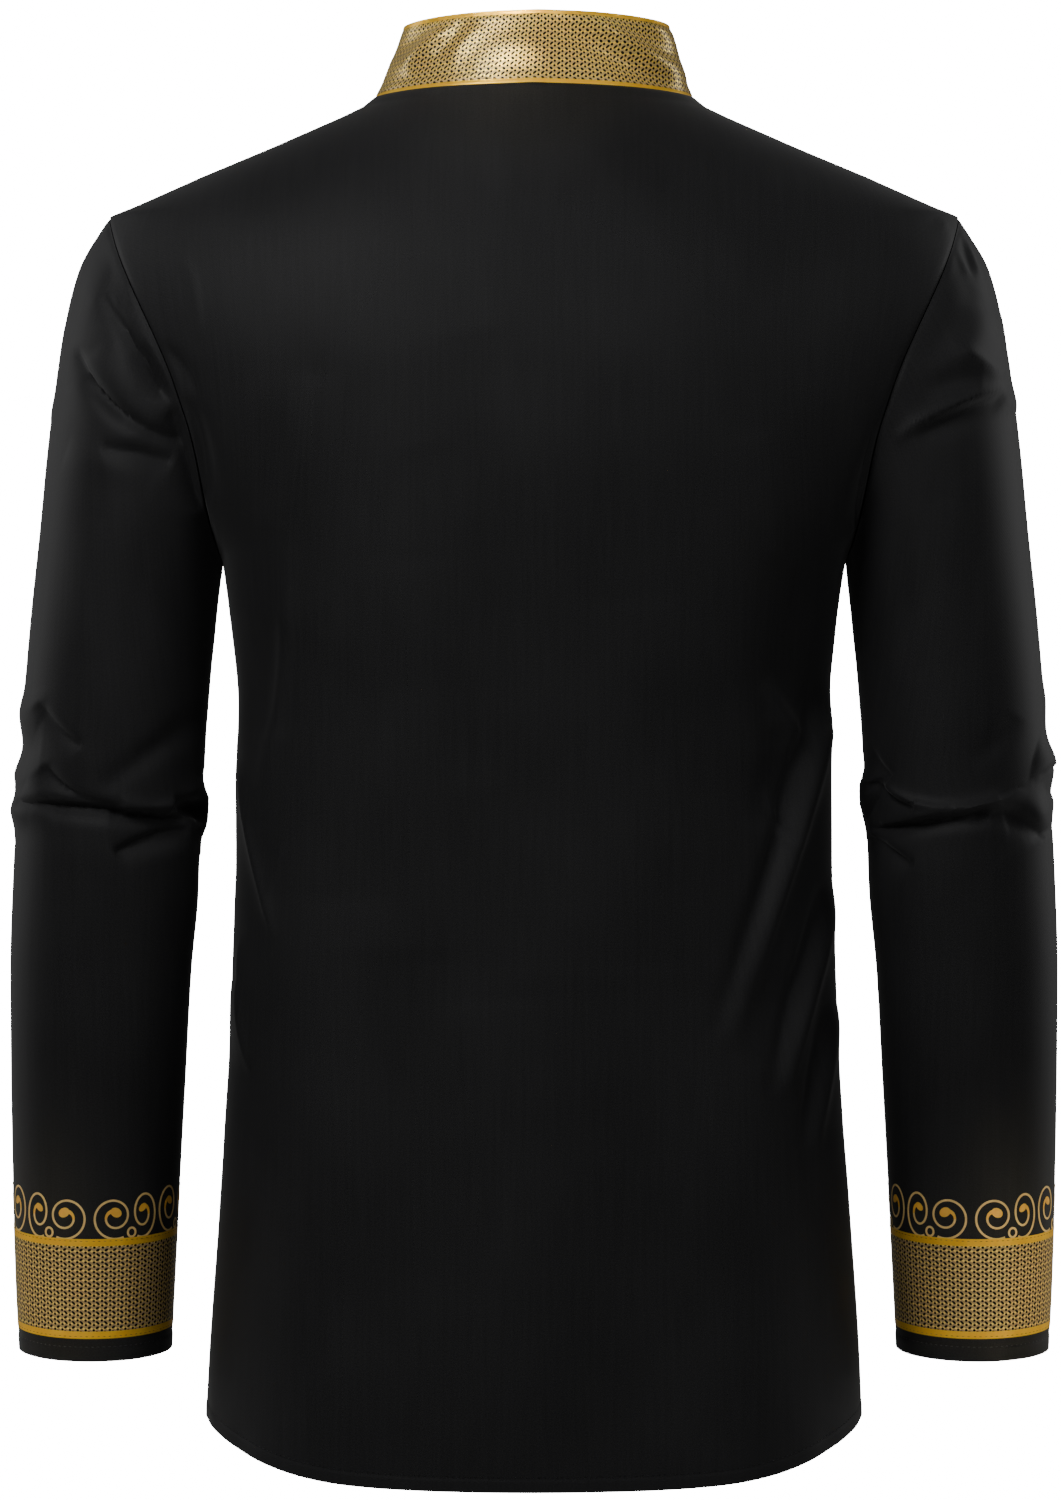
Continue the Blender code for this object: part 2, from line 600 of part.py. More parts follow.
def cut_hole(button, spot, normal, across, up):
    """Cut one thread hole straight through a button."""
    sides = 6
    points = []
    for height in (-2.0, BUTTON_THICKNESS + 3.0):
        for index in range(sides):
            angle = 2.0 * math.pi * index / sides
            spoke = BUTTON_HOLE_RADIUS * (math.cos(angle) * across + math.sin(angle) * up)
            points.append(spot + spoke + height * normal)
    faces = [face[::-1] for face in grid_faces(1, sides, 0, True)]
    faces.append(tuple(range(sides)))
    faces.append(tuple(reversed(range(sides, 2 * sides))))
    cutter = add_solid("hole_cutter", np.array(points), faces, button.data.materials[0])
    cutter.hide_render = True
    cutter.display_type = "WIRE"
    bpy.context.view_layer.objects.active = button
    cut = button.modifiers.new("hole", "BOOLEAN")
    cut.operation = "DIFFERENCE"
    cut.solver = "EXACT"
    cut.object = cutter
    bpy.ops.object.modifier_apply(modifier=cut.name)
    bpy.data.objects.remove(cutter, do_unlink=True)


def collar_profile(left_front, right_front, left_back, right_back):
    """Neck line from the left front end round the back to the right front end."""
    left = left_front[-1, :NECK_COLUMNS + 1]
    right = right_front[-1, :NECK_COLUMNS + 1]
    back = np.concatenate([left_back[-1, :NECK_COLUMNS][::-1], right_back[-1, 1:NECK_COLUMNS]])
    starts = []
    for part in (0.0, 0.12, 0.3, 0.6):
        first_x = COLLAR_FRONT_GAP + part * (left[1, 0] - COLLAR_FRONT_GAP)
        share = (first_x - left[0, 0]) / (left[1, 0] - left[0, 0])
        starts.append(left[0] + share * (left[1] - left[0]))
    starts = np.array(starts)
    ends = starts[::-1] * np.array([-1.0, 1.0, 1.0])
    return np.concatenate([starts, left[1:], back, right[:0:-1], ends])


def add_collar(line, material):
    """Stand collar leaning in, open at the front with rounded corners."""
    line = line.copy()
    line[:, 2] += 2.0 * SEAM_GAP
    top_scale = np.array([COLLAR_TOP_HALF_WIDTH / NECK_HALF_WIDTH, COLLAR_TOP_DEPTH_RATIO, 1.0])
    seam_level = line[:, 2]
    rise = COLLAR_HEIGHT - SEAM_GAP
    ends_in = np.minimum(np.abs(line[:, 0]) - COLLAR_FRONT_GAP, COLLAR_CORNER)
    is_front = line[:, 1] < 0.0
    lost = COLLAR_CORNER - np.sqrt(np.maximum(COLLAR_CORNER**2 - (COLLAR_CORNER - ends_in) ** 2, 0.0))
    height = np.where(is_front, rise - lost, rise)
    spots = np.array([0.0, 0.35, 0.7, 1.0])
    lean = spots[:, None] * (height / rise)[None, :]
    outer = np.zeros((len(spots), len(line), 3))
    behind = smooth_step(-30.0, 30.0, line[None, :, 1])
    outer[..., 0] = line[None, :, 0] * (1.0 + (top_scale[0] - 1.0) * lean) + COLLAR_TOP_SHIFT * lean * behind
    outer[..., 1] = line[None, :, 1] * (1.0 + (top_scale[1] - 1.0) * lean)
    outer[..., 2] = seam_level[None, :] + spots[:, None] * height[None, :]
    around = np.gradient(outer, axis=1)
    level = unit(np.stack([around[..., 1], -around[..., 0], np.zeros(around.shape[:-1])], axis=-1))
    flip = np.where((level * outer).sum(axis=-1, keepdims=True) < 0.0, -1.0, 1.0)
    inner = outer - COLLAR_CLOTH * level * flip
    points, faces = wall_mesh(outer, inner, False)
    add_solid("collar", points, faces, material)


def sleeve_stations():
    """Distances along the sleeve's middle for its rows of points."""
    middle = [((row.outer_x + row.inner_x) / 2, row.mid_y, (row.outer_z + row.inner_z) / 2) for row in SLEEVE]
    steps = np.linalg.norm(np.diff(np.array(middle), axis=0), axis=1)
    knots = np.concatenate([[0.0], np.cumsum(steps)])
    stations = [0.0]
    for rows in SLEEVE_ROWS:
        until = knots[-1] if rows.until is None else rows.until
        stations += list(np.linspace(stations[-1], until, rows.count + 1)[1:])
    return knots, np.array(stations)


def sleeve_base():
    """Left sleeve points without folds: rows from armhole to cuff."""
    knots, stations = sleeve_stations()
    value = {}
    for name in SleeveSection._fields:
        value[name] = curve_through(knots, [getattr(row, name) for row in SLEEVE], stations)[:, None]
    angle = np.arange(SLEEVE_COLUMNS)[None, :] * 2.0 * math.pi / SLEEVE_COLUMNS
    cosine = np.cos(angle)
    sine = np.sin(angle)
    start = np.clip(1.0 - stations / 90.0, 0.0, 1.0)[:, None] ** 3
    rise = (1.0 + cosine) / 2.0
    bow = np.where(sine > 0.0, armhole_bow(rise, 1), armhole_bow(rise, -1)) * start
    depth_shift = np.where(sine > 0.0, ARMHOLE.back_depth, ARMHOLE.front_depth) - 72.0
    x = (value["outer_x"] + value["inner_x"]) / 2 + (value["outer_x"] - value["inner_x"]) / 2 * cosine - bow
    y = value["mid_y"] * (1.0 - start) + (value["half_depth"] + depth_shift * start) * sine
    z = (value["outer_z"] + value["inner_z"]) / 2 + (value["outer_z"] - value["inner_z"]) / 2 * cosine
    last = smooth_step(stations[-1] - 60.0, stations[-1], stations)[:, None]
    z = z - CUFF_TILT * sine * last
    return np.stack([x, y, z], axis=-1), stations


def sleeve_normals(base):
    """Outward directions of the sleeve, lying in the armhole plane at its seam."""
    around = np.roll(base, -1, axis=1) - np.roll(base, 1, axis=1)
    along = np.gradient(base, axis=0)
    normals = unit(np.cross(along, around))
    outward = base - base.mean(axis=1, keepdims=True)
    turned = (normals * outward).sum(axis=(0, 1, 2)) < 0.0
    if turned:
        normals = -normals
    axis = armhole_axis()
    for row, share in ((0, 1.0), (1, 0.5)):
        flat = unit(outward[row] - (outward[row] @ axis)[:, None] * axis)
        normals[row] = unit(normals[row] * (1.0 - share) + flat * share)
    return normals


def add_sleeve(name, mirror, back_folds, front_folds, material):
    """One set-in sleeve, open at the armhole and the cuff."""
    base, stations = sleeve_base()
    normals = sleeve_normals(base)
    base = base + SEAM_GAP * armhole_axis() * np.clip(1.0 - stations / 40.0, 0.0, 1.0)[:, None, None]
    turn = np.array([mirror, 1.0, 1.0])
    base = base * turn
    normals = normals * turn
    mask = smooth_step(0.0, 32.0, stations) * (1.0 - smooth_step(stations[-1] - 110.0, stations[-1] - 50.0, stations))
    rise = all_folds_rise(base, normals, back_folds, front_folds, SLEEVE_FACING) * mask[:, None]
    outer = base + rise[..., None] * normals
    inner = outer - CLOTH * normals
    points, faces = wall_mesh(outer, inner, True)
    add_solid(name, points, faces, material, flip=mirror > 0.0)


def mirrored(folds, shift, share):
    """The folds of the other sleeve, moved a little and softened."""
    result = []
    for fold in folds:
        side = -fold.trough_side
        result.append(Fold(-fold.x0, fold.z0 + shift, -fold.x1, fold.z1 + shift,
                           -fold.x2, fold.z2 + shift, fold.height * share, fold.width, side))
    return tuple(result)


def build_shirt():
    """Build every sewn piece and the buttons."""
    clear_scene()
    black = add_material("black_cloth", 0.012, 0.012, 0.014, 0.62)
    printed = add_material("printed_cloth", 0.30, 0.22, 0.12, 0.5)
    plastic = add_material("button_plastic", 0.015, 0.015, 0.016, 0.35)

    add_back(black)
    left, left_normals = add_front("front_left", 1.0, black)
    right, right_normals = add_front("front_right", -1.0, black)
    strip, strip_normals = add_placket(left, left_normals, right, right_normals, black)

    for number, height in enumerate(BUTTON_HEIGHTS, start=1):
        centre = np.array([np.interp(height, strip[:, 2], strip[:, axis]) for axis in range(3)])
        normal = unit(np.array([np.interp(height, strip[:, 2], strip_normals[:, axis]) for axis in range(3)]))
        add_button(f"button_{number}", centre, normal, plastic)

    left_back, _ = folded_panel(1, 1.0)
    right_back, _ = folded_panel(1, -1.0)
    add_collar(collar_profile(left, right, left_back, right_back), printed)

    left_front_folds = mirrored(RIGHT_SLEEVE_FOLDS, -7.0, 0.85)
    right_front_folds = mirrored(LEFT_SLEEVE_FOLDS, 6.0, 0.85)
    add_sleeve("sleeve_left", 1.0, LEFT_SLEEVE_FOLDS, left_front_folds, black)
    add_sleeve("sleeve_right", -1.0, RIGHT_SLEEVE_FOLDS, right_front_folds, black)


build_shirt()
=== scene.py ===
"""Dashiki shirt in black cloth, with a gold printed stand collar and cuff bands.

Frame: +Z up, the front faces -Y and the wearer's left is +X.
Lengths are in millimetres and become metres when a mesh is made. The floor
and the lights are placed in metres.
"""

import math
from collections import namedtuple

import bpy
import numpy as np
from mathutils import Matrix, Vector


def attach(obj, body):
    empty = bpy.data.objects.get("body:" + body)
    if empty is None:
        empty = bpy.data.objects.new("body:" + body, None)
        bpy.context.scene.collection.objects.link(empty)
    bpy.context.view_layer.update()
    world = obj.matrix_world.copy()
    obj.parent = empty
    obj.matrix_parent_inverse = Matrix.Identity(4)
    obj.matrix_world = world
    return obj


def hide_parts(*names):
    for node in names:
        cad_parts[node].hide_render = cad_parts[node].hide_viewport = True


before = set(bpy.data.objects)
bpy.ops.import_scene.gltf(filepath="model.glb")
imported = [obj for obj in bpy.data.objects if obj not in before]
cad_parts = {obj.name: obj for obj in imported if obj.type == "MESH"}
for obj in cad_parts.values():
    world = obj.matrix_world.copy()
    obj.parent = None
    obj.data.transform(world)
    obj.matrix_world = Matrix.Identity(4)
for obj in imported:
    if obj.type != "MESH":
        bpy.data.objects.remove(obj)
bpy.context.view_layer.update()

MM = 0.001

# Cloth walls, and the gaps at seams and between layers.
CLOTH = 0.8
COLLAR_CLOTH = 2.0
PLACKET_CLOTH = 1.3
SEAM_GAP = 0.1
STRIP_RISE = 1.7
LAYER_GAP = 0.3

# Heights on the body.
UNDERARM_Z = -250.0
SHOULDER_POINT_Z = -65.0
BACK_HEM_Z = -737.0
FRONT_HEM_Z = -725.0
SIDE_HEM_Z = -709.0
# How late and sharply the hem turns up towards the side seam.
HEM_CURVE = 3.6
# How narrowly the front neckline dips: a higher value is narrower.
FRONT_NECK_CURVE = 1.6

# Neck opening and stand collar.
NECK_HALF_WIDTH = 86.0
FRONT_NECK_DROP = 52.0
COLLAR_HEIGHT = 40.0
COLLAR_TOP_HALF_WIDTH = 72.0
COLLAR_TOP_DEPTH_RATIO = 0.86
COLLAR_FRONT_GAP = 3.0
COLLAR_CORNER = 12.0
COLLAR_TOP_SHIFT = -2.5
COLLAR_SEAM_RISE = -1.0
COLLAR_SEAM_OUT = 0.9
COLLAR_STITCH_DIP = 0.3
COLLAR_STITCH_DIP_WIDTH = 0.8
NECK_BACK_RISE = 2.4

# Button strip and buttons.
PLACKET_HALF_WIDTH = 16.0
PLACKET_STITCH = 13.4
PLACKET_ROLL = 0.35
BUTTON_RADIUS = 5.5
BUTTON_THICKNESS = 2.5
BUTTON_HOLE_RADIUS = 0.8
BUTTON_HOLE_SPREAD = 1.35
BUTTON_HEIGHTS = (-78.0, -170.0, -262.0, -354.0, -446.0, -538.0, -630.0)
BUTTON_RIM = 1.3
BUTTON_DISH_SLOPE = 0.7
BUTTON_DISH_DEPTH = 0.7
BUTTON_ROUNDING = 0.55
BUTTON_THREAD_RADIUS = 0.42
BUTTONHOLE_LENGTH = 14.0
BUTTONHOLE_LIP = 0.9
BUTTONHOLE_STITCH_STEP = 0.62
BUTTONHOLE_STITCH_HALF = 0.75

# Sewing.
SEAM_DIP = 0.7
SEAM_DIP_WIDTH = 1.7
HEM_TURN = 7.4
HEM_STEP = 0.3
CUFF_TURN = 8.0
STITCH_LENGTH = 2.2
STITCH_PITCH = 3.0
STITCH_HALF_WIDTH = 0.24
STITCH_HEIGHT = 0.3
STITCH_DIP = 0.35
STITCH_DIP_WIDTH = 0.7
HEM_STITCH_IN = 0.3
BAND_STITCH_IN = 1.2
STEP_WIDTH = 0.8

# Print on the cuffs, measured up from the cuff edge.
BAND_BOTTOM = 12.6
BAND_TOP = 67.6
BAND_BORDER = 4.0
PRINT_RISE = 0.22
PRINT_BACK = 0.10
DOT_PITCH_ROUND = 4.3
DOT_PITCH_UP = 5.35
CUFF_CELLS = 60
COLLAR_BORDER = 2.3
# Dots of one repeat: places round and up as shares of it, half sizes in
# millimetres and a tilt in degrees.
Dot = namedtuple("Dot", "across up half_length half_width tilt")
DOTS = (
    Dot(0.0, 0.0, 1.15, 0.58, 42.0),
    Dot(0.5, 0.24, 0.68, 0.62, 0.0),
    Dot(0.05, 0.5, 0.95, 0.62, -32.0),
    Dot(0.47, 0.77, 0.68, 0.62, 0.0),
)
COLLAR_DOT_SIZE = 1.12
CUFF_DOT_SIZE = 1.16

# Grid places: columns from the middle to the neck point and on to the
# shoulder point, rows from the hem to the underarm and on to the shoulder.
NECK_COLUMNS = 8
SHOULDER_COLUMNS = 6
LOWER_ROWS = 17
UPPER_ROWS = 12
MIDDLE_SPLIT = 4
FLANK_SPLIT = 8
ROW_SPLIT = 8
SLEEVE_COLUMNS = 228

# Distances along the sleeve and the step between rows up to each: closest
# over the creases of the armhole and the elbow.
SLEEVE_STEPS = ((110.0, 2.0), (178.0, 5.0), (282.0, 1.4), (None, 6.0))

# Horizontal sections of the body. Above the underarm the half width follows
# the armhole and then the shoulder line instead.
Section = namedtuple("Section", "z half_width back_depth front_depth roundness")
BODY = (
    Section(-745.0, 177.0, 121.0, 116.0, 2.40),
    Section(-700.0, 176.0, 120.0, 116.0, 2.40),
    Section(-600.0, 169.5, 116.0, 117.0, 2.40),
    Section(-500.0, 163.5, 111.0, 119.0, 2.40),
    Section(-400.0, 160.5, 109.0, 121.5, 2.40),
    Section(-330.0, 160.0, 112.0, 125.0, 2.40),
    Section(-290.0, 163.0, 116.0, 128.5, 2.40),
    Section(-250.0, 168.0, 120.0, 131.0, 2.38),
    Section(-200.0, 180.0, 121.5, 127.0, 2.34),
    Section(-150.0, 200.0, 119.0, 117.0, 2.28),
    Section(-100.0, 215.0, 110.0, 101.0, 2.20),
    Section(-65.0, 229.0, 98.0, 88.0, 2.12),
    Section(-52.0, 200.0, 91.5, 81.0, 2.10),
    Section(-30.0, 148.0, 80.0, 71.0, 2.05),
    Section(0.0, 86.0, 62.0, 60.0, 2.00),
)

# The line of each shoulder, from the neck point out to the shoulder point.
Ridge = namedtuple("Ridge", "z half_width")
SHOULDER_LINE = (
    Ridge(-65.0, 229.0),
    Ridge(-60.5, 217.6),
    Ridge(-44.0, 181.0),
    Ridge(-28.0, 142.6),
    Ridge(-12.0, 106.0),
    Ridge(-6.0, 93.4),
    Ridge(0.0, 86.0),
)

# Each armhole is a tilted ellipse through the shoulder point and underarm.
Armhole = namedtuple("Armhole", "mid_x mid_z reach_x reach_z back_depth front_depth back_bow front_bow")
ARMHOLE = Armhole(198.5, -157.5, 30.5, 92.5, 74.0, 70.0, 8.0, 9.0)

# Sections of the left sleeve: the outer and inner edge seen from behind.
SleeveSection = namedtuple("SleeveSection", "outer_x outer_z inner_x inner_z half_depth mid_y")
SLEEVE = (
    SleeveSection(229.0, -65.0, 168.0, -250.0, 72.0, 2.0),
    SleeveSection(245.0, -93.0, 169.2, -262.0, 70.5, 3.0),
    SleeveSection(253.0, -125.0, 170.6, -275.0, 68.5, 4.0),
    SleeveSection(258.0, -158.0, 172.0, -290.0, 66.0, 5.0),
    SleeveSection(262.0, -192.0, 173.6, -306.0, 63.0, 6.5),
    SleeveSection(266.0, -235.0, 175.2, -326.0, 60.0, 8.0),
    SleeveSection(270.5, -278.0, 176.6, -346.0, 57.0, 9.0),
    SleeveSection(274.2, -322.0, 177.6, -368.0, 54.5, 10.0),
    SleeveSection(277.4, -370.0, 178.6, -396.0, 52.5, 10.0),
    SleeveSection(280.4, -420.0, 180.4, -428.0, 50.5, 8.0),
    SleeveSection(282.2, -470.0, 184.6, -470.0, 48.5, 4.5),
    SleeveSection(282.4, -530.0, 188.2, -530.0, 46.0, -2.0),
    SleeveSection(282.0, -590.0, 191.8, -590.0, 43.5, -9.0),
    SleeveSection(281.0, -645.0, 195.0, -645.0, 40.5, -16.0),
    SleeveSection(279.6, -679.5, 197.0, -679.5, 39.0, -20.0),
)
# The cuff's edge hangs lower behind, and the whole cuff sits a little higher.
# Each starts and is whole at a distance up from the edge.
CUFF_TILT = 4.4
TILT_START = 210.0
TILT_WHOLE = 60.0
CUFF_RAISE = 3.6
RAISE_START = 240.0
RAISE_WHOLE = 30.0
# How far down the sleeve the armhole's bow, its flat cut and its seam gap reach.
ARMHOLE_BLEND = 90.0
ARMHOLE_FLAT = 31.0
ARMHOLE_GAP = 40.0
# Rough radius that turns angles round a sleeve into lengths, for its puckers.
SLEEVE_RADIUS = 44.0
# The folds fade out between these distances up from the cuff's edge.
FOLDS_FADE_START = 110.0
FOLDS_FADE_END = 50.0

# Folds are drawn in one plane as seen level with the waist from 3 m away, each
# from a start through a middle to an end point. A negative height is a
# trough. Trough side +1 or -1 sinks the cloth right or left of a ridge, going
# from start to end.
VIEW_DISTANCE = 3000.0
VIEW_HEIGHT = -352.0
VIEW_FIELD = 810.0
VIEW_ASIDE_M = 0.0019
Facing = namedtuple("Facing", "none whole")
BODY_FACING = Facing(-0.25, 0.45)
SLEEVE_FACING = Facing(-0.30, 0.22)
Fold = namedtuple("Fold", "x0 z0 x1 z1 x2 z2 height width trough_side")
BACK_FOLDS = (
    Fold(-164.2, -316.4, -143.6, -391.0, -104.8, -511.9, 5.6, 5.0, -1),
    Fold(-164.2, -424.4, -151.7, -472.0, -133.9, -540.0, 4.8, 4.4, -1),
    Fold(-165.2, -489.2, -158.2, -521.6, -150.1, -571.3, 4.0, 4.0, -1),
    Fold(-162.0, -557.3, -164.2, -630.2, -166.3, -703.1, 2.4, 14.0, 0),
    Fold(-146.9, -249.5, -140.4, -303.5, -146.9, -346.7, -6.5, 20.0, 0),
    Fold(-138.2, -341.3, -132.8, -365.6, -127.4, -395.3, -4.5, 11.0, 0),
    Fold(-126.4, -315.4, -137.7, -333.2, -146.9, -347.8, 3.0, 5.0, 0),
    Fold(-136.1, -465.5, -128.5, -492.5, -119.9, -524.9, -2.6, 12.0, 0),
    Fold(134.5, -227.9, 135.5, -303.5, 151.2, -392.0, 2.8, 5.0, 0),
    Fold(146.9, -281.9, 149.0, -314.3, 145.8, -346.7, -3.6, 15.0, 0),
    Fold(158.8, -362.9, 151.2, -406.1, 140.4, -452.5, 1.6, 5.5, 0),
    Fold(162.0, -476.3, 158.8, -499.0, 155.0, -524.9, 2.4, 5.5, 0),
    Fold(36.0, -127.0, 14.0, -271.0, -3.0, -473.0, -2.8, 20.0, 0),
    Fold(57.0, -187.0, 40.0, -286.0, 31.0, -372.0, -2.3, 15.0, 0),
    Fold(66.0, -249.0, 64.0, -357.0, 59.0, -465.0, 2.5, 26.0, 0),
    Fold(-52.0, -271.0, -55.0, -357.0, -63.0, -465.0, 2.5, 28.0, 0),
    Fold(110.0, -433.0, 114.0, -600.0, 117.0, -800.0, 4.0, 32.0, 0),
    Fold(72.0, -460.0, 73.0, -620.0, 72.0, -800.0, -4.0, 34.0, 0),
    Fold(8.0, -487.0, 5.0, -630.0, 3.0, -800.0, 3.0, 32.0, 0),
    Fold(-57.0, -476.0, -62.0, -630.0, -65.0, -800.0, -3.5, 32.0, 0),
    Fold(-111.0, -487.0, -117.0, -630.0, -120.0, -800.0, 4.0, 30.0, 0),
)
FRONT_FOLDS = (
    Fold(162.0, -345.0, 131.0, -420.0, 108.0, -500.0, 4.5, 12.0, 1),
    Fold(160.0, -420.0, 148.0, -480.0, 138.0, -545.0, 3.5, 10.0, 1),
    Fold(-158.0, -352.0, -136.0, -412.0, -118.0, -470.0, 4.5, 11.0, -1),
    Fold(-162.0, -440.0, -152.0, -500.0, -147.0, -556.0, 3.0, 10.0, -1),
    Fold(136.0, -205.0, 112.0, -262.0, 96.0, -330.0, 3.0, 15.0, 0),
    Fold(-140.0, -200.0, -118.0, -250.0, -98.0, -318.0, 3.5, 14.0, 0),
    Fold(70.0, -180.0, 66.0, -300.0, 62.0, -430.0, -2.5, 22.0, 0),
    Fold(-66.0, -190.0, -60.0, -320.0, -58.0, -460.0, -2.5, 24.0, 0),
    Fold(112.0, -470.0, 117.0, -620.0, 119.0, -800.0, 4.0, 30.0, 0),
    Fold(64.0, -450.0, 62.0, -610.0, 60.0, -800.0, -3.5, 28.0, 0),
    Fold(-62.0, -480.0, -64.0, -620.0, -66.0, -800.0, 3.0, 26.0, 0),
    Fold(-116.0, -470.0, -120.0, -620.0, -124.0, -800.0, -3.5, 28.0, 0),
)
LEFT_SLEEVE_FOLDS = (
    Fold(230.0, -118.8, 221.4, -137.2, 209.5, -158.8, 1.4, 8.0, 0),
    Fold(238.7, -137.2, 223.6, -152.3, 202.0, -169.6, 1.5, 9.0, 0),
    Fold(250.6, -155.0, 227.9, -176.0, 196.6, -191.2, 1.4, 9.0, 0),
    Fold(252.7, -191.2, 234.4, -196.6, 207.4, -204.1, 1.4, 9.0, 0),
    Fold(234.4, -372.6, 207.4, -353.7, 179.3, -332.6, -2.6, 6.5, 0),
    Fold(270.0, -319.7, 256.0, -346.7, 229.0, -367.2, 1.2, 10.0, 0),
    Fold(274.3, -371.5, 243.0, -380.2, 207.4, -384.5, 2.4, 6.0, 0),
    Fold(224.6, -381.2, 197.6, -385.0, 178.2, -368.3, 2.4, 5.5, 0),
    Fold(177.1, -385.6, 185.8, -383.9, 195.5, -382.3, -8.0, 5.0, 0),
    Fold(272.2, -387.2, 234.4, -391.0, 202.0, -394.7, 1.8, 7.0, 0),
    Fold(219.2, -413.6, 202.0, -407.2, 182.5, -403.9, 1.6, 8.0, 0),
    Fold(290.5, -383.9, 278.6, -383.9, 263.5, -380.2, 3.6, 8.0, 0),
    Fold(290.5, -367.2, 279.7, -367.2, 265.7, -366.1, 1.4, 7.0, 0),
    Fold(290.5, -351.0, 280.8, -351.0, 266.8, -352.1, -1.4, 8.0, 0),
    Fold(290.5, -331.0, 281.9, -331.0, 266.8, -335.9, 2.2, 10.0, 0),
    Fold(172.8, -394.7, 178.2, -393.7, 185.8, -391.5, 1.8, 6.0, 0),
)
RIGHT_SLEEVE_FOLDS = (
    Fold(-237.6, -102.6, -222.5, -122.6, -208.4, -143.6, -3.0, 7.0, 0),
    Fold(-246.2, -114.5, -238.1, -128.5, -224.6, -139.3, 1.8, 9.0, 0),
    Fold(-208.4, -157.1, -224.6, -152.8, -240.8, -151.2, -2.4, 7.0, 0),
    Fold(-195.5, -183.6, -219.2, -169.0, -253.8, -155.5, 2.2, 5.5, 0),
    Fold(-207.4, -178.2, -231.1, -169.6, -256.0, -160.9, -2.2, 7.0, 0),
    Fold(-224.6, -135.0, -239.8, -141.5, -253.8, -151.2, 1.6, 6.0, 0),
    Fold(-180.4, -196.6, -186.8, -184.7, -196.6, -172.8, -2.5, 8.0, 0),
    Fold(-252.7, -160.9, -257.0, -164.2, -259.2, -169.6, 1.4, 7.0, 0),
    Fold(-279.7, -362.9, -254.9, -379.6, -217.1, -385.0, 3.2, 5.5, 0),
    Fold(-230.0, -385.6, -202.0, -383.4, -182.5, -372.6, 1.8, 6.0, 0),
    Fold(-189.0, -387.7, -213.8, -387.2, -240.8, -384.5, 1.2, 5.0, 0),
    Fold(-186.8, -400.7, -224.6, -395.3, -257.0, -394.2, 1.8, 7.0, 0),
    Fold(-278.6, -378.0, -271.1, -386.6, -275.4, -396.4, 3.2, 7.0, 0),
    Fold(-254.9, -389.9, -264.6, -391.0, -274.3, -399.6, -1.6, 6.0, 0),
    Fold(-171.7, -376.9, -176.0, -378.0, -182.5, -380.2, 7.5, 11.0, 0),
    Fold(-290.5, -358.6, -281.9, -358.6, -270.0, -356.4, 5.0, 11.0, 0),
)

# Smaller creases that only the finer cloth here can carry. A fold narrower
# than SHARP_WIDTH comes to an edge, as a pressed crease does. It falls away
# steeply on its trough side, or above a trough, and slowly on the other.
SHARP_WIDTH = 3.5
CREASE_ROUNDING = 0.5
CREASE_RUN_OUT = 4.0
# How a fold and a crease run out at their ends, and the trough beside a
# one-sided fold: its depth beside the fold's height, its place in fold widths.
FOLD_TAPER = 0.7
CREASE_TAPER = 0.6
TROUGH_SHARE = 0.7
TROUGH_PLACE = 1.7
# The front of a sleeve or collar repeats the other side's folds, softened.
SLEEVE_FRONT_SHARE = 0.85
COLLAR_FRONT_SHARE = 0.8
COLLAR_FRONT_SHIFT = -30.0
BACK_CREASES = (
    Fold(191.2, -84.2, 184.1, -100.4, 180.4, -130.7, 0.9, 1.8, 0),
    Fold(202.0, -134.5, 189.0, -144.7, 182.0, -163.1, -3.0, 1.8, 0),
    Fold(189.0, -162.0, 182.5, -184.7, 175.5, -217.1, -5.0, 7.0, 0),
    Fold(-197.6, -167.4, -187.4, -192.8, -175.0, -233.3, -6.0, 7.0, 0),
    Fold(-219.2, -65.9, -224.1, -73.4, -226.8, -83.2, 1.4, 3.0, 0),
    Fold(-126.4, -373.7, -132.8, -391.0, -140.4, -407.2, 2.4, 2.4, 0),
    Fold(159.8, -358.6, 151.2, -403.9, 139.3, -454.7, 2.6, 1.8, 0),
    Fold(158.8, -454.7, 157.7, -489.2, 152.3, -524.9, 2.2, 1.8, 0),
    Fold(135.0, -403.9, 141.5, -424.4, 142.6, -441.2, 1.2, 2.4, 0),
    Fold(24.0, -5.0, 17.0, -28.0, 14.0, -52.0, 0.6, 7.0, 0),
    Fold(-31.0, -4.0, -38.0, -30.0, -52.0, -58.0, 0.6, 8.0, 0),
    Fold(-118.0, -180.0, -126.0, -212.0, -138.0, -246.0, 1.5, 11.0, 0),
    Fold(120.0, -150.0, 127.0, -196.0, 140.0, -236.0, 1.5, 11.0, 0),
)
FRONT_CREASES = (
    Fold(60.0, -52.0, 84.0, -84.0, 122.0, -118.0, 1.2, 9.0, 0),
    Fold(-58.0, -50.0, -88.0, -88.0, -130.0, -112.0, 1.2, 10.0, 0),
    Fold(154.0, -380.0, 140.0, -424.0, 124.0, -462.0, 1.5, 5.0, 0),
    Fold(-154.0, -392.0, -143.0, -432.0, -132.0, -476.0, 1.5, 5.0, 0),
    Fold(176.0, -206.0, 163.0, -226.0, 144.0, -240.0, -2.2, 2.4, 0),
    Fold(-178.0, -192.0, -160.0, -214.0, -134.0, -226.0, -2.2, 2.4, 0),
    Fold(-170.0, -226.0, -158.0, -240.0, -146.0, -258.0, -1.8, 2.4, 0),
    Fold(146.0, -250.0, 132.0, -284.0, 126.0, -318.0, 1.5, 8.0, 0),
    Fold(22.0, -214.0, 34.0, -236.0, 52.0, -252.0, 0.9, 8.0, 0),
    Fold(-24.0, -398.0, -38.0, -420.0, -58.0, -434.0, 0.9, 8.0, 0),
)
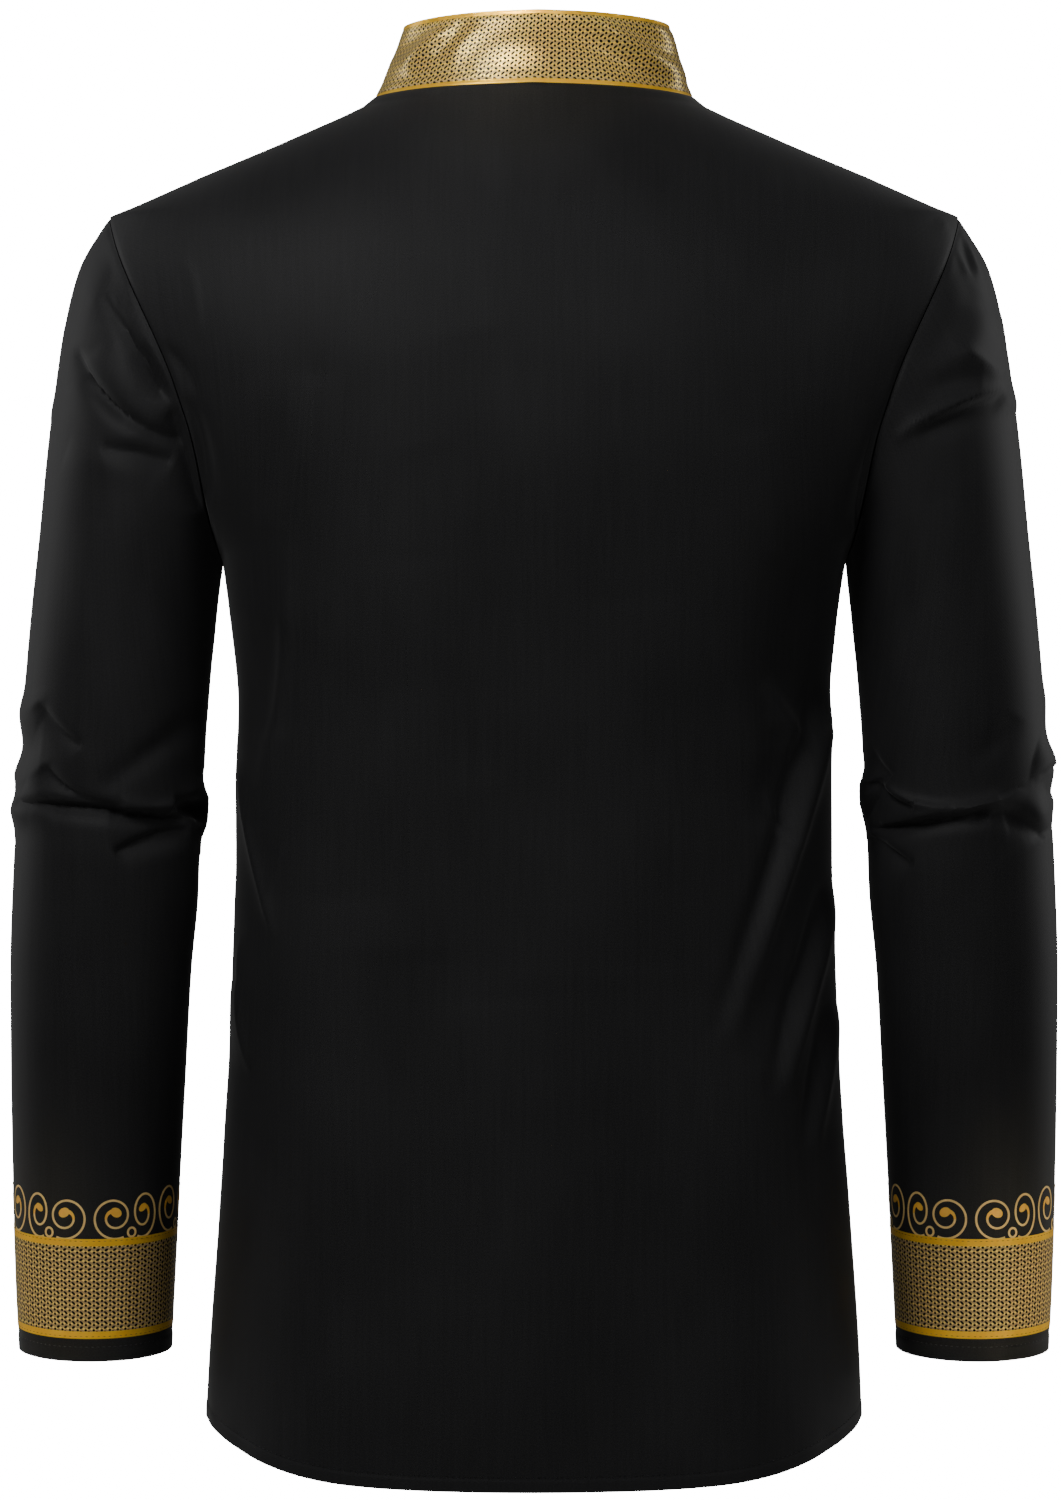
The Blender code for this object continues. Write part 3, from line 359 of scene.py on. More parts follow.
LEFT_SLEEVE_CREASES = (
    Fold(232.7, -105.8, 217.1, -129.1, 199.3, -162.5, -4.2, 1.6, 0),
    Fold(212.2, -132.8, 200.3, -151.7, 185.2, -172.3, -4.4, 1.7, 0),
    Fold(247.3, -136.1, 227.9, -165.2, 187.9, -186.3, -5.0, 1.6, 0),
    Fold(244.1, -149.6, 233.3, -162.0, 219.8, -171.7, -2.0, 4.0, 0),
    Fold(233.3, -188.5, 212.8, -190.6, 194.4, -197.1, -4.2, 2.0, 0),
    Fold(192.2, -165.2, 182.5, -187.9, 176.0, -222.5, -11.0, 3.0, 1),
    Fold(227.9, -83.2, 230.0, -96.1, 234.4, -109.1, -1.2, 2.4, 0),
    Fold(223.6, -88.6, 222.5, -102.6, 224.6, -117.7, -1.2, 2.4, 0),
    Fold(266.8, -327.2, 257.0, -340.2, 244.1, -349.9, -3.6, 1.7, 0),
    Fold(264.6, -360.7, 248.4, -375.3, 221.4, -381.8, -5.2, 1.9, 0),
    Fold(229.0, -381.8, 212.8, -383.4, 193.3, -380.7, 1.4, 1.8, 0),
    Fold(277.6, -380.2, 233.3, -383.9, 187.9, -389.9, -8.0, 2.0, 0),
    Fold(229.0, -385.0, 207.4, -387.7, 185.8, -389.3, -3.6, 2.2, 0),
    Fold(226.8, -407.7, 207.9, -400.1, 186.8, -394.7, -6.0, 2.2, 0),
    Fold(194.9, -383.4, 189.0, -387.2, 182.5, -390.4, 3.0, 2.0, 0),
    Fold(256.0, -435.8, 252.7, -481.7, 253.8, -530.3, 0.9, 9.0, 0),
    Fold(223.6, -433.1, 224.6, -479.0, 221.4, -535.7, -0.9, 10.0, 0),
    Fold(236.5, -227.9, 240.8, -265.7, 243.0, -303.5, 0.9, 10.0, 0),
    Fold(207.4, -233.3, 212.8, -271.1, 214.9, -308.9, -0.9, 9.0, 0),
)
RIGHT_SLEEVE_CREASES = (
    Fold(-229.5, -71.3, -234.9, -82.1, -240.8, -97.2, 1.8, 1.3, 0),
    Fold(-230.6, -74.5, -233.8, -84.2, -237.6, -94.0, -1.6, 1.3, 0),
    Fold(-227.3, -80.5, -231.1, -87.5, -234.4, -96.1, 1.6, 1.3, 0),
    Fold(-230.0, -136.1, -240.8, -143.1, -252.2, -150.7, 1.8, 2.2, 0),
    Fold(-194.4, -184.7, -219.2, -169.6, -253.8, -156.1, 2.2, 1.6, 0),
    Fold(-200.9, -182.5, -224.6, -172.8, -253.8, -159.8, -2.4, 2.6, 0),
    Fold(-182.0, -352.1, -186.3, -360.2, -192.8, -366.7, -3.0, 1.7, 0),
    Fold(-183.6, -368.3, -191.7, -378.0, -206.3, -383.4, -6.0, 2.0, 0),
    Fold(-278.6, -360.2, -267.8, -369.4, -249.5, -378.0, -4.0, 1.6, 0),
    Fold(-189.0, -371.0, -204.1, -379.6, -224.6, -383.9, 2.6, 1.6, 0),
    Fold(-224.6, -383.9, -253.8, -377.5, -278.6, -361.8, 2.6, 1.6, 0),
    Fold(-181.4, -394.7, -210.6, -391.0, -246.2, -386.1, -8.0, 2.2, 0),
    Fold(-234.4, -386.6, -258.1, -386.1, -275.4, -399.6, -3.6, 2.6, 0),
    Fold(-184.7, -392.0, -200.3, -389.9, -218.2, -385.0, 2.0, 1.7, 0),
    Fold(-180.4, -398.5, -191.2, -407.2, -203.6, -414.7, -4.6, 1.7, 0),
    Fold(-219.2, -217.1, -224.6, -260.3, -227.9, -303.5, 0.9, 10.0, 0),
    Fold(-197.6, -227.9, -200.9, -271.1, -204.1, -314.3, -0.9, 9.0, 0),
    Fold(-260.3, -333.7, -251.6, -345.6, -236.5, -358.6, -1.4, 6.0, 0),
    Fold(-246.2, -435.8, -243.0, -481.7, -245.2, -530.3, 0.9, 9.0, 0),
    Fold(-213.8, -433.1, -216.0, -479.0, -213.8, -535.7, -0.9, 10.0, 0),
)
COLLAR_CREASES = (
    Fold(71.3, 15.1, 58.3, 28.1, 42.1, 40.0, 3.4, 4.6, 1),
    Fold(47.5, 19.4, 38.9, 29.2, 28.1, 40.0, 1.6, 4.2, 1),
    Fold(34.6, 14.0, 7.6, 28.1, -9.7, 17.3, 2.0, 9.0, 0),
    Fold(-7.6, 51.8, -42.1, 35.6, -84.2, 8.6, 5.0, 6.0, -1),
    Fold(-41.0, 51.8, -62.6, 40.0, -81.0, 22.7, 2.2, 5.0, -1),
)

# Gold scrolls over each cuff band: places round the cuff from its middle
# behind, heights over the band and sizes beside a scroll of reach 1. Turn +1
# opens away from the middle. The row runs the same way back from the middle
# in front, so it closes evenly round the cuff.
Scroll = namedtuple("Scroll", "place height wide tall turn")
Ring = namedtuple("Ring", "place height wide tall")
SCROLLS = (
    Scroll(13.2, 11.8, 1.00, 1.00, -1),
    Scroll(30.2, 13.2, 0.72, 1.12, 1),
    Scroll(49.8, 14.4, 0.80, 1.18, -1),
    Scroll(67.4, 13.4, 0.60, 1.12, 1),
    Scroll(85.0, 14.4, 0.80, 1.18, 1),
    Scroll(104.6, 13.2, 0.72, 1.12, -1),
    Scroll(121.6, 11.8, 1.00, 1.00, 1),
)
RINGS = (
    Ring(23.0, 2.9, 2.2, 2.5),
    Ring(58.8, 2.9, 2.0, 2.5),
    Ring(76.0, 2.9, 2.0, 2.5),
    Ring(111.8, 2.9, 2.2, 2.5),
)
SCROLL_START = -115.0
SCROLL_END = 470.0
SCROLL_REACH_START = 12.4
SCROLL_REACH_END = 2.6
SCROLL_LINE = 1.15
COMMA_START = 330.0
COMMA_WIDTH = 2.6
HEAD_LENGTH = 6.4
HEAD_WIDTH = 5.0
HEAD_LIFT = 0.04
HEAD_START = 15.0
SCROLL_SINK = 1.0


# ---- Maths of the cloth forms ----

def smooth_step(low, high, value):
    """Rise smoothly from 0 at low to 1 at high."""
    ratio = np.clip((value - low) / (high - low), 0.0, 1.0)
    return ratio * ratio * (3.0 - 2.0 * ratio)


def bump(distance, width):
    """1 at distance 0, falling away smoothly over the width."""
    return np.exp(-((distance / width) ** 2))


def unit(vectors):
    """Vectors scaled to length 1."""
    return vectors / np.maximum(np.linalg.norm(vectors, axis=-1, keepdims=True), 1e-9)


def curve_through(knots, values, at):
    """Smooth curve through table values that never overshoots them."""
    knots = np.asarray(knots, float)
    values = np.asarray(values, float)
    steps = np.diff(knots)
    slopes = np.diff(values) / steps
    tangents = np.zeros_like(values)
    tangents[0] = slopes[0]
    tangents[-1] = slopes[-1]
    before = slopes[:-1]
    after = slopes[1:]
    same_way = before * after > 0.0
    total = np.where(same_way, before + after, 1.0)
    tangents[1:-1] = np.where(same_way, 2.0 * before * after / total, 0.0)
    at = np.clip(at, knots[0], knots[-1])
    cell = np.clip(np.searchsorted(knots, at) - 1, 0, len(steps) - 1)
    width = steps[cell]
    t = (at - knots[cell]) / width
    start = (2 * t**3 - 3 * t**2 + 1) * values[cell] + (t**3 - 2 * t**2 + t) * width * tangents[cell]
    end = (3 * t**2 - 2 * t**3) * values[cell + 1] + (t**3 - t**2) * width * tangents[cell + 1]
    return start + end


def body_value(name, z):
    """One column of the body table at height z."""
    return curve_through([row.z for row in BODY], [getattr(row, name) for row in BODY], z)


def ridge_half_width(z):
    """Half width of the shoulder line at height z."""
    return np.interp(z, [row.z for row in SHOULDER_LINE], [row.half_width for row in SHOULDER_LINE])


def ridge_height(half_width):
    """Height of the shoulder line at a distance from the middle."""
    rows = sorted(SHOULDER_LINE, key=lambda row: row.half_width)
    return np.interp(half_width, [row.half_width for row in rows], [row.z for row in rows])


def armhole_bow(rise, side):
    """How far the armhole bends in: rise is 0 at the underarm, 1 at the shoulder."""
    reach = ARMHOLE.back_bow if side > 0 else ARMHOLE.front_bow
    return reach * smooth_step(0.0, 0.40, rise) * (1.0 - smooth_step(0.48, 0.92, rise))


def armhole_edge(angle, side):
    """Point of the left armhole: angle 0 at the shoulder, pi at the underarm."""
    depth = ARMHOLE.back_depth if side > 0 else ARMHOLE.front_depth
    bow = armhole_bow((1.0 + np.cos(angle)) / 2.0, side)
    x = ARMHOLE.mid_x + ARMHOLE.reach_x * np.cos(angle) - bow
    y = side * depth * np.sin(angle)
    z = ARMHOLE.mid_z + ARMHOLE.reach_z * np.cos(angle)
    return x, y, z


def armhole_axis():
    """Direction across the left armhole's plane, pointing down the sleeve."""
    length = math.hypot(ARMHOLE.reach_x, ARMHOLE.reach_z)
    return np.array([ARMHOLE.reach_z / length, 0.0, -ARMHOLE.reach_x / length])


def body_depth(z, side):
    """Depth of the section at height z, on the back (+1) or front (-1)."""
    return body_value("back_depth" if side > 0 else "front_depth", z)


def body_half_width(z, side):
    """Half width of the whole oval section at height z."""
    rise = np.clip((z - ARMHOLE.mid_z) / ARMHOLE.reach_z, -1.0, 1.0)
    edge_x, edge_y, _ = armhole_edge(np.arccos(rise), side)
    power = body_value("roundness", z)
    share = np.clip(1.0 - np.abs(edge_y / body_depth(z, side)) ** power, 1e-6, 1.0)
    beside_armhole = edge_x / share ** (1.0 / power)
    width = np.where(z <= UNDERARM_Z, body_value("half_width", z), beside_armhole)
    return np.where(z >= SHOULDER_POINT_Z, ridge_half_width(z), width)


def body_surface(x, z, side):
    """Depth position of the body form at x and height z."""
    power = body_value("roundness", z)
    share = np.clip(1.0 - (np.abs(x) / body_half_width(z, side)) ** power, 0.0, 1.0)
    return side * body_depth(z, side) * share ** (1.0 / power)


def body_level(x, y, z, side):
    """1 on the body form, less inside it and more outside."""
    power = body_value("roundness", z)
    across = (np.abs(x) / body_half_width(z, side)) ** power
    return across + (np.abs(y) / body_depth(z, side)) ** power


def body_normals(points, side):
    """Outward directions of the body form at its points."""
    x, y, z = points[..., 0], points[..., 1], points[..., 2]
    power = body_value("roundness", z)
    width = body_half_width(z, side)
    depth = body_depth(z, side)
    step = 0.5
    slope_x = power / width * (np.abs(x) / width) ** (power - 1.0) * np.sign(x)
    slope_y = power / depth * (np.abs(y) / depth) ** (power - 1.0) * np.sign(y)
    slope_z = (body_level(x, y, z + step, side) - body_level(x, y, z - step, side)) / (2.0 * step)
    return unit(np.stack([slope_x, slope_y, slope_z], axis=-1))


def seen_flat(points, side):
    """Positions in the flat plane where folds are drawn, from behind or in front."""
    scale = VIEW_DISTANCE / (VIEW_DISTANCE - side * points[..., 1])
    flat_x = points[..., 0] * scale
    flat_z = VIEW_HEIGHT + (points[..., 2] - VIEW_HEIGHT) * scale
    return np.stack([flat_x, flat_z], axis=-1)


def fold_rise(flat, fold):
    """Rise of the cloth at flat positions caused by one fold."""
    t = np.linspace(0.0, 1.0, 13)[:, None]
    start = np.array([fold.x0, fold.z0])
    middle = np.array([fold.x1, fold.z1])
    end = np.array([fold.x2, fold.z2])
    bend = 2.0 * middle - 0.5 * (start + end)
    line = (1 - t) ** 2 * start + 2 * t * (1 - t) * bend + t**2 * end
    nearest = np.full(flat.shape[:-1], 1e9)
    offset = np.zeros(flat.shape[:-1])
    along = np.zeros(flat.shape[:-1])
    for index in range(len(line) - 1):
        run = line[index + 1] - line[index]
        rel = flat - line[index]
        part = np.clip((rel @ run) / (run @ run), 0.0, 1.0)
        gap = rel - part[..., None] * run
        distance = np.hypot(gap[..., 0], gap[..., 1])
        right = np.sign(rel[..., 0] * run[1] - rel[..., 1] * run[0])
        closer = distance < nearest
        nearest = np.where(closer, distance, nearest)
        offset = np.where(closer, distance * right, offset)
        along = np.where(closer, (index + part) / (len(line) - 1), along)
    taper = (4.0 * along * (1.0 - along)) ** FOLD_TAPER
    if fold.width < SHARP_WIDTH:
        steep_side = fold.trough_side or (fold.height < 0.0) * -np.sign(fold.x2 - fold.x0)
        slow = offset * steep_side < 0.0
        stretch = np.where(slow, 1.0 + (CREASE_RUN_OUT - 1.0) * taper, 1.0)
        taper = taper**CREASE_TAPER
        rise = np.exp((CREASE_ROUNDING - np.hypot(offset / stretch, CREASE_ROUNDING)) / fold.width)
    else:
        rise = bump(offset, fold.width)
    if fold.trough_side and fold.width >= SHARP_WIDTH:
        rise = rise - TROUGH_SHARE * bump(offset - fold.trough_side * TROUGH_PLACE * fold.width, fold.width)
    return fold.height * taper * rise


def all_folds_rise(points, normals, back_folds, front_folds, limits):
    """Rise from the folds drawn behind and in front, each fading at the sides."""
    total = np.zeros(points.shape[:-1])
    for side, folds in ((1, back_folds), (-1, front_folds)):
        flat = seen_flat(points, side)
        facing = smooth_step(limits.none, limits.whole, side * normals[..., 1])
        for fold in folds:
            total = total + facing * fold_rise(flat, fold)
    return total


def mirrored(folds, shift, share):
    """Folds mirrored left to right, moved a little and softened."""
    return tuple(
        Fold(-fold.x0, fold.z0 + shift, -fold.x1, fold.z1 + shift, -fold.x2, fold.z2 + shift,
             fold.height * share, fold.width, -fold.trough_side)
        for fold in folds
    )


def lengths_along(grid, axis):
    """Length from the first point of each line of a grid along one axis."""
    steps = np.linalg.norm(np.diff(grid, axis=axis), axis=-1)
    first = np.zeros_like(np.take(steps, [0], axis=axis))
    return np.concatenate([first, np.cumsum(steps, axis=axis)], axis=axis)


def uneven_wave(along):
    """Soft uneven ripple between about -1 and 1, with no short repeat."""
    return 0.5 * np.sin(along / 7.3) + 0.3 * np.sin(along / 4.1 + 1.3) + 0.3 * np.sin(along / 12.7 + 4.0)


# ---- Grids of the cloth pieces ----

def column_places():
    """Column places from the middle to the side, closer together at the seam."""
    whole = NECK_COLUMNS + SHOULDER_COLUMNS
    half = whole // 2
    middle = np.arange(half * MIDDLE_SPLIT) / MIDDLE_SPLIT
    flank = half + np.arange((whole - half) * FLANK_SPLIT) / FLANK_SPLIT
    return np.concatenate([middle, flank, whole - np.array([0.07, 0.03, 0.01, 0.0])])


def row_places():
    """Row places from the hem to the top, closer together at hem and seam."""
    reach = UNDERARM_Z - BACK_HEM_Z
    near_hem = np.array([0.0, 0.7, 1.6, 3.0, 5.0, 6.3, 6.9, 7.4, 7.9, 8.5, 10.0, 12.5]) / reach * LOWER_ROWS
    even = np.linspace(near_hem[-1], LOWER_ROWS, LOWER_ROWS * ROW_SPLIT)[1:]
    upper = LOWER_ROWS + np.arange(1, UPPER_ROWS * ROW_SPLIT) / ROW_SPLIT
    top = LOWER_ROWS + UPPER_ROWS - np.array([0.07, 0.03, 0.0])
    return np.concatenate([near_hem, even, upper, top])


def hem_height(share, side):
    """Height of the hem: share 0 at the middle, 1 at the side seam."""
    middle = BACK_HEM_Z if side > 0 else FRONT_HEM_Z
    return middle + (SIDE_HEM_Z - middle) * np.sin(share * math.pi / 2.0) ** HEM_CURVE


def half_panel(side):
    """Points of half a panel without folds, rows from hem to top, left side."""
    columns = column_places()
    rows = row_places()
    share = columns / columns[-1]
    neck_share = np.clip(columns / NECK_COLUMNS, 0.0, 1.0)
    shoulder_share = np.clip((columns - NECK_COLUMNS) / SHOULDER_COLUMNS, 0.0, 1.0)
    angle = (1.0 - share) * math.pi / 2.0
    hem = hem_height(share, side)

    below = rows[rows <= LOWER_ROWS][:, None]
    z = hem + (UNDERARM_Z - hem) * below / LOWER_ROWS
    power = body_value("roundness", z)
    x = body_half_width(z, side) * np.cos(angle) ** (2.0 / power)
    y = side * body_depth(z, side) * np.sin(angle) ** (2.0 / power)
    lower = np.stack([x, y, z], axis=-1)
    lower[:, -1, 1] = 0.0

    low_x = lower[-1, :, 0]
    neck_x = NECK_HALF_WIDTH * np.sin(neck_share * math.pi / 2.0)
    top_x = neck_x + (ARMHOLE.mid_x + ARMHOLE.reach_x - NECK_HALF_WIDTH) * shoulder_share
    drop = 0.0 if side > 0 else FRONT_NECK_DROP
    neck_z = -drop * np.cos(neck_share * math.pi / 2.0) ** FRONT_NECK_CURVE - SEAM_GAP
    top_z = np.where(shoulder_share > 0.0, ridge_height(top_x), neck_z)
    rise = (rows[rows > LOWER_ROWS][:, None] - LOWER_ROWS) / UPPER_ROWS
    middle_rise = np.sin(rise * math.pi / 2.0)
    edge_rise = (1.0 - np.cos(rise * math.pi)) / 2.0
    blend = middle_rise + (edge_rise - middle_rise) * smooth_step(0.0, 1.0, share)
    z = UNDERARM_Z + (top_z - UNDERARM_Z) * blend
    x = low_x + (top_x - low_x) * blend - armhole_bow(edge_rise, side) * share**4
    upper = np.stack([x, body_surface(x, z, side), z], axis=-1)
    upper[-1, columns >= NECK_COLUMNS, 1] = 0.0
    if side > 0:
        near_top = smooth_step(0.7, 1.0, rise) * np.cos(neck_share * math.pi / 2.0) ** 2
        upper[..., 2] += NECK_BACK_RISE * near_top
    return np.concatenate([lower, upper])


def softened(grid):
    """Half a panel smoothed where the rules of its form meet, away from its seams."""
    share = column_places() / (NECK_COLUMNS + SHOULDER_COLUMNS)
    to_top = np.linalg.norm(grid - grid[-1:], axis=-1)
    keep_seams = (1.0 - smooth_step(0.86, 0.98, share))[None, :] * smooth_step(2.0, 22.0, to_top)
    for height in (SHOULDER_POINT_Z, UNDERARM_Z):
        reach = 7
        weights = np.cos(np.linspace(-1.4, 1.4, 2 * reach + 1))
        padded = np.pad(grid, ((reach, reach), (0, 0), (0, 0)), mode="edge")
        average = sum(weight * padded[step:step + len(grid)] for step, weight in enumerate(weights)) / weights.sum()
        near = bump(grid[..., 2] - height, 30.0) * keep_seams
        grid = grid + near[..., None] * (average - grid)
    return grid


def sewn_relief(grid, side):
    """Dips at the seams, and the turned hem with its dimpled stitch line."""
    rows = row_places()
    columns = column_places()
    to_side = np.linalg.norm(grid - grid[:, -1:], axis=-1)
    to_top = np.linalg.norm(grid - grid[-1:], axis=-1)
    dip = np.maximum(bump(to_side, SEAM_DIP_WIDTH), bump(to_top, SEAM_DIP_WIDTH))
    from_hem = grid[..., 2] - hem_height(columns / columns[-1], side)[None, :]
    around = lengths_along(grid, 1)
    turned = HEM_STEP * (1.0 - smooth_step(HEM_TURN, HEM_TURN + STEP_WIDTH, from_hem))
    stitched = STITCH_DIP * bump(from_hem - HEM_TURN + HEM_STITCH_IN, STITCH_DIP_WIDTH)
    roping = 0.45 * uneven_wave(around) * bump(from_hem - 5.0, 9.0)
    on_panel = smooth_step(0.0, 6.0, to_side)
    beside_seam = 0.35 * uneven_wave(rows[:, None] * 9.0) * bump(to_side - 4.0, 4.0) * smooth_step(1.0, 3.0, to_side)
    return turned - stitched - SEAM_DIP * dip + roping * on_panel + beside_seam


def half_panel_cloth(side, mirror):
    """Outer points and outward directions of half a panel with its folds."""
    plain = softened(half_panel(side))
    normals = body_normals(plain, side)
    across = np.gradient(plain, axis=1)
    measured = unit(np.cross(across, np.gradient(plain, axis=0)))
    measured = measured * np.sign((measured * normals).sum(axis=-1, keepdims=True))
    share = column_places() / (NECK_COLUMNS + SHOULDER_COLUMNS)
    trusted = (smooth_step(0.0, 0.05, share) * (1.0 - smooth_step(0.80, 0.97, share)))[None, :, None]
    normals = unit(normals + (measured - normals) * trusted)
    normals[:, 0, 0] = 0.0
    rows = row_places()
    columns = column_places()
    axis = armhole_axis()
    edge = normals[rows >= LOWER_ROWS, -1]
    normals[rows >= LOWER_ROWS, -1] = edge - np.minimum(edge @ axis, 0.0)[:, None] * axis
    normals = unit(normals)
    relief = sewn_relief(plain, side)

    turn = np.array([mirror, 1.0, 1.0])
    plain = plain * turn
    normals = normals * turn
    level = np.clip((rows - LOWER_ROWS) / UPPER_ROWS, 0.0, 1.0)
    top_fade = 1.0 - smooth_step(0.75, 1.0, level)[:, None]
    edge_fade = 1.0 - smooth_step(0.86, 1.0, share)[None, :] * smooth_step(0.0, 0.04, level)[:, None]
    rise = all_folds_rise(plain, normals, BACK_FOLDS, FRONT_FOLDS, BODY_FACING) * top_fade * edge_fade
    fine_fade = 1.0 - smooth_step(0.97, 1.0, share)[None, :] * smooth_step(0.0, 0.04, level)[:, None]
    top_gap = smooth_step(0.0, 10.0, np.linalg.norm(plain - plain[-1:], axis=-1))
    rise = rise + all_folds_rise(plain, normals, BACK_CREASES, FRONT_CREASES, BODY_FACING) * fine_fade * top_gap
    outer = plain + (rise + relief)[..., None] * normals
    outer[rows <= LOWER_ROWS, -1, 1] = 0.0
    on_seam = np.zeros(outer.shape[:-1])
    on_seam[rows <= LOWER_ROWS, -1] = 1.0
    on_seam[-1, columns >= NECK_COLUMNS] = 1.0
    outer[..., 1] += side * SEAM_GAP / 2.0 * on_seam
    return outer, normals


def sleeve_stations():
    """Distances along the sleeve's middle, closer at the armhole and the cuff."""
    middle = np.array([((row.outer_x + row.inner_x) / 2, row.mid_y, (row.outer_z + row.inner_z) / 2)
                       for row in SLEEVE])
    knots = np.concatenate([[0.0], np.cumsum(np.linalg.norm(np.diff(middle, axis=0), axis=1))])
    end = knots[-1]
    near_armhole = np.array([0.0, 0.5, 1.1, 1.9, 3.0, 4.5, 6.5])
    near_edge = np.array([0.0, 0.7, 1.6, 3.2, 5.2, 6.6, 7.3, 8.0, 8.7, 10.4,
                          BAND_BOTTOM, 14.6, BAND_BOTTOM + BAND_BORDER])
    band = np.linspace(BAND_BOTTOM + BAND_BORDER, BAND_TOP - BAND_BORDER, 9)[1:]
    above = np.array([BAND_TOP - BAND_BORDER / 2.0, BAND_TOP])
    low = (end - np.concatenate([near_edge, band, above]))[::-1]
    parts = [near_armhole]
    for until, step in SLEEVE_STEPS:
        until = low[0] if until is None else until
        count = max(1, round((until - parts[-1][-1]) / step))
        parts.append(np.linspace(parts[-1][-1], until, count + 1)[1:])
    return knots, np.concatenate(parts + [low[1:]])


def sleeve_cloth(mirror, back_folds, front_folds, back_creases, front_creases):
    """Outer points and outward directions of a sleeve, and its stations."""
    knots, stations = sleeve_stations()
    end = stations[-1]
    value = {
        name: curve_through(knots, [getattr(row, name) for row in SLEEVE], stations)[:, None]
        for name in SleeveSection._fields
    }
    angle = np.arange(SLEEVE_COLUMNS)[None, :] * 2.0 * math.pi / SLEEVE_COLUMNS
    cosine = np.cos(angle)
    sine = np.sin(angle)
    start = np.clip(1.0 - stations / ARMHOLE_BLEND, 0.0, 1.0)[:, None] ** 3
    climb = (1.0 + cosine) / 2.0
    bow = np.where(sine > 0.0, armhole_bow(climb, 1), armhole_bow(climb, -1)) * start
    depth_shift = np.where(sine > 0.0, ARMHOLE.back_depth, ARMHOLE.front_depth) - SLEEVE[0].half_depth
    x = (value["outer_x"] + value["inner_x"]) / 2 + (value["outer_x"] - value["inner_x"]) / 2 * cosine - bow
    y = value["mid_y"] * (1.0 - start) + (value["half_depth"] + depth_shift * start) * sine
    z = (value["outer_z"] + value["inner_z"]) / 2 + (value["outer_z"] - value["inner_z"]) / 2 * cosine
    z = z - CUFF_TILT * sine * smooth_step(end - TILT_START, end - TILT_WHOLE, stations)[:, None]
    z = z + CUFF_RAISE * smooth_step(end - RAISE_START, end - RAISE_WHOLE, stations)[:, None]
    plain = np.stack([x, y, z], axis=-1)

    around = np.roll(plain, -1, axis=1) - np.roll(plain, 1, axis=1)
    normals = unit(np.cross(np.gradient(plain, axis=0), around))
    outward = plain - plain.mean(axis=1, keepdims=True)
    if (normals * outward).sum() < 0.0:
        normals = -normals
    axis = armhole_axis()
    share = np.clip(1.0 - stations / ARMHOLE_FLAT, 0.0, 1.0)[:, None, None]
    flat = unit(outward - (outward @ axis)[..., None] * axis)
    normals = unit(normals * (1.0 - share) + flat * share)

    from_edge = (end - stations)[:, None]
    from_armhole = stations[:, None]
    round_length = angle * SLEEVE_RADIUS
    relief = HEM_STEP * (1.0 - smooth_step(CUFF_TURN, CUFF_TURN + STEP_WIDTH, from_edge))
    relief = relief - STITCH_DIP * bump(from_edge - CUFF_TURN, STITCH_DIP_WIDTH)
    relief = relief - SEAM_DIP * bump(from_armhole, SEAM_DIP_WIDTH)
    puckers = uneven_wave(round_length * 1.9 + mirror * 20.0) * bump(from_armhole - 7.0, 9.0)
    roping = 0.25 * uneven_wave(round_length + mirror * 9.0) * bump(from_edge - 4.0, 6.0)
    relief = relief + 0.5 * puckers * smooth_step(0.0, 3.0, from_armhole) + roping

    plain = plain + SEAM_GAP * axis * np.clip(1.0 - stations / ARMHOLE_GAP, 0.0, 1.0)[:, None, None]
    turn = np.array([mirror, 1.0, 1.0])
    plain = plain * turn
    normals = normals * turn
    cuff_fade = 1.0 - smooth_step(end - FOLDS_FADE_START, end - FOLDS_FADE_END, stations)
    rise = all_folds_rise(plain, normals, back_folds, front_folds, SLEEVE_FACING)
    rise = rise * (smooth_step(0.0, 32.0, stations) * cuff_fade)[:, None]
    fine = all_folds_rise(plain, normals, back_creases, front_creases, SLEEVE_FACING)
    rise = rise + fine * (smooth_step(0.0, 8.0, stations) * cuff_fade)[:, None]
    outer = plain + (rise + relief)[..., None] * normals
    return outer, normals, stations


# ---- Meshes ----

def grid_quads(rows, columns, wrap):
    """Corner numbers of a grid's faces: on a tube, and on its flat cut."""
    row, column = np.meshgrid(np.arange(rows), np.arange(columns), indexing="ij")
    width = columns if wrap else columns + 1
    following = (column + 1) % width
    points = np.stack([row * width + column, row * width + following,
                       (row + 1) * width + following, (row + 1) * width + column], axis=-1).reshape(-1, 4)
    width = columns + 1
    flats = np.stack([row * width + column, row * width + column + 1,
                      (row + 1) * width + column + 1, (row + 1) * width + column], axis=-1).reshape(-1, 4)
    return points, flats


def wall_faces(rows, columns, wrap):
    """Faces of a wall between two grids, and the flat corner behind each."""
    width = columns if wrap else columns + 1
    points, flats = grid_quads(rows, columns, wrap)
    count = (rows + 1) * width
    faces = [points, points[:, ::-1] + count]
    corners = [flats, flats[:, ::-1]]
    step = np.arange(columns)
    following = (step + 1) % width
    for row, order in ((0, 1), (rows, -1)):
        start = row * width
        rim = np.stack([start + following, start + step, count + start + step, count + start + following], axis=-1)
        start = row * (columns + 1)
        flat = np.stack([start + step + 1, start + step, start + step, start + step + 1], axis=-1)
        faces.append(rim[:, ::order])
        corners.append(flat[:, ::order])
    if not wrap:
        step = np.arange(rows)
        for column, order in ((0, 1), (columns, -1)):
            low = step * width + column
            rim = np.stack([low, low + width, count + low + width, count + low], axis=-1)
            flat = np.stack([low, low + width, low + width, low], axis=-1)
            faces.append(rim[:, ::order])
            corners.append(flat[:, ::order])
    return np.concatenate(faces), np.concatenate(corners), 2 * len(points)


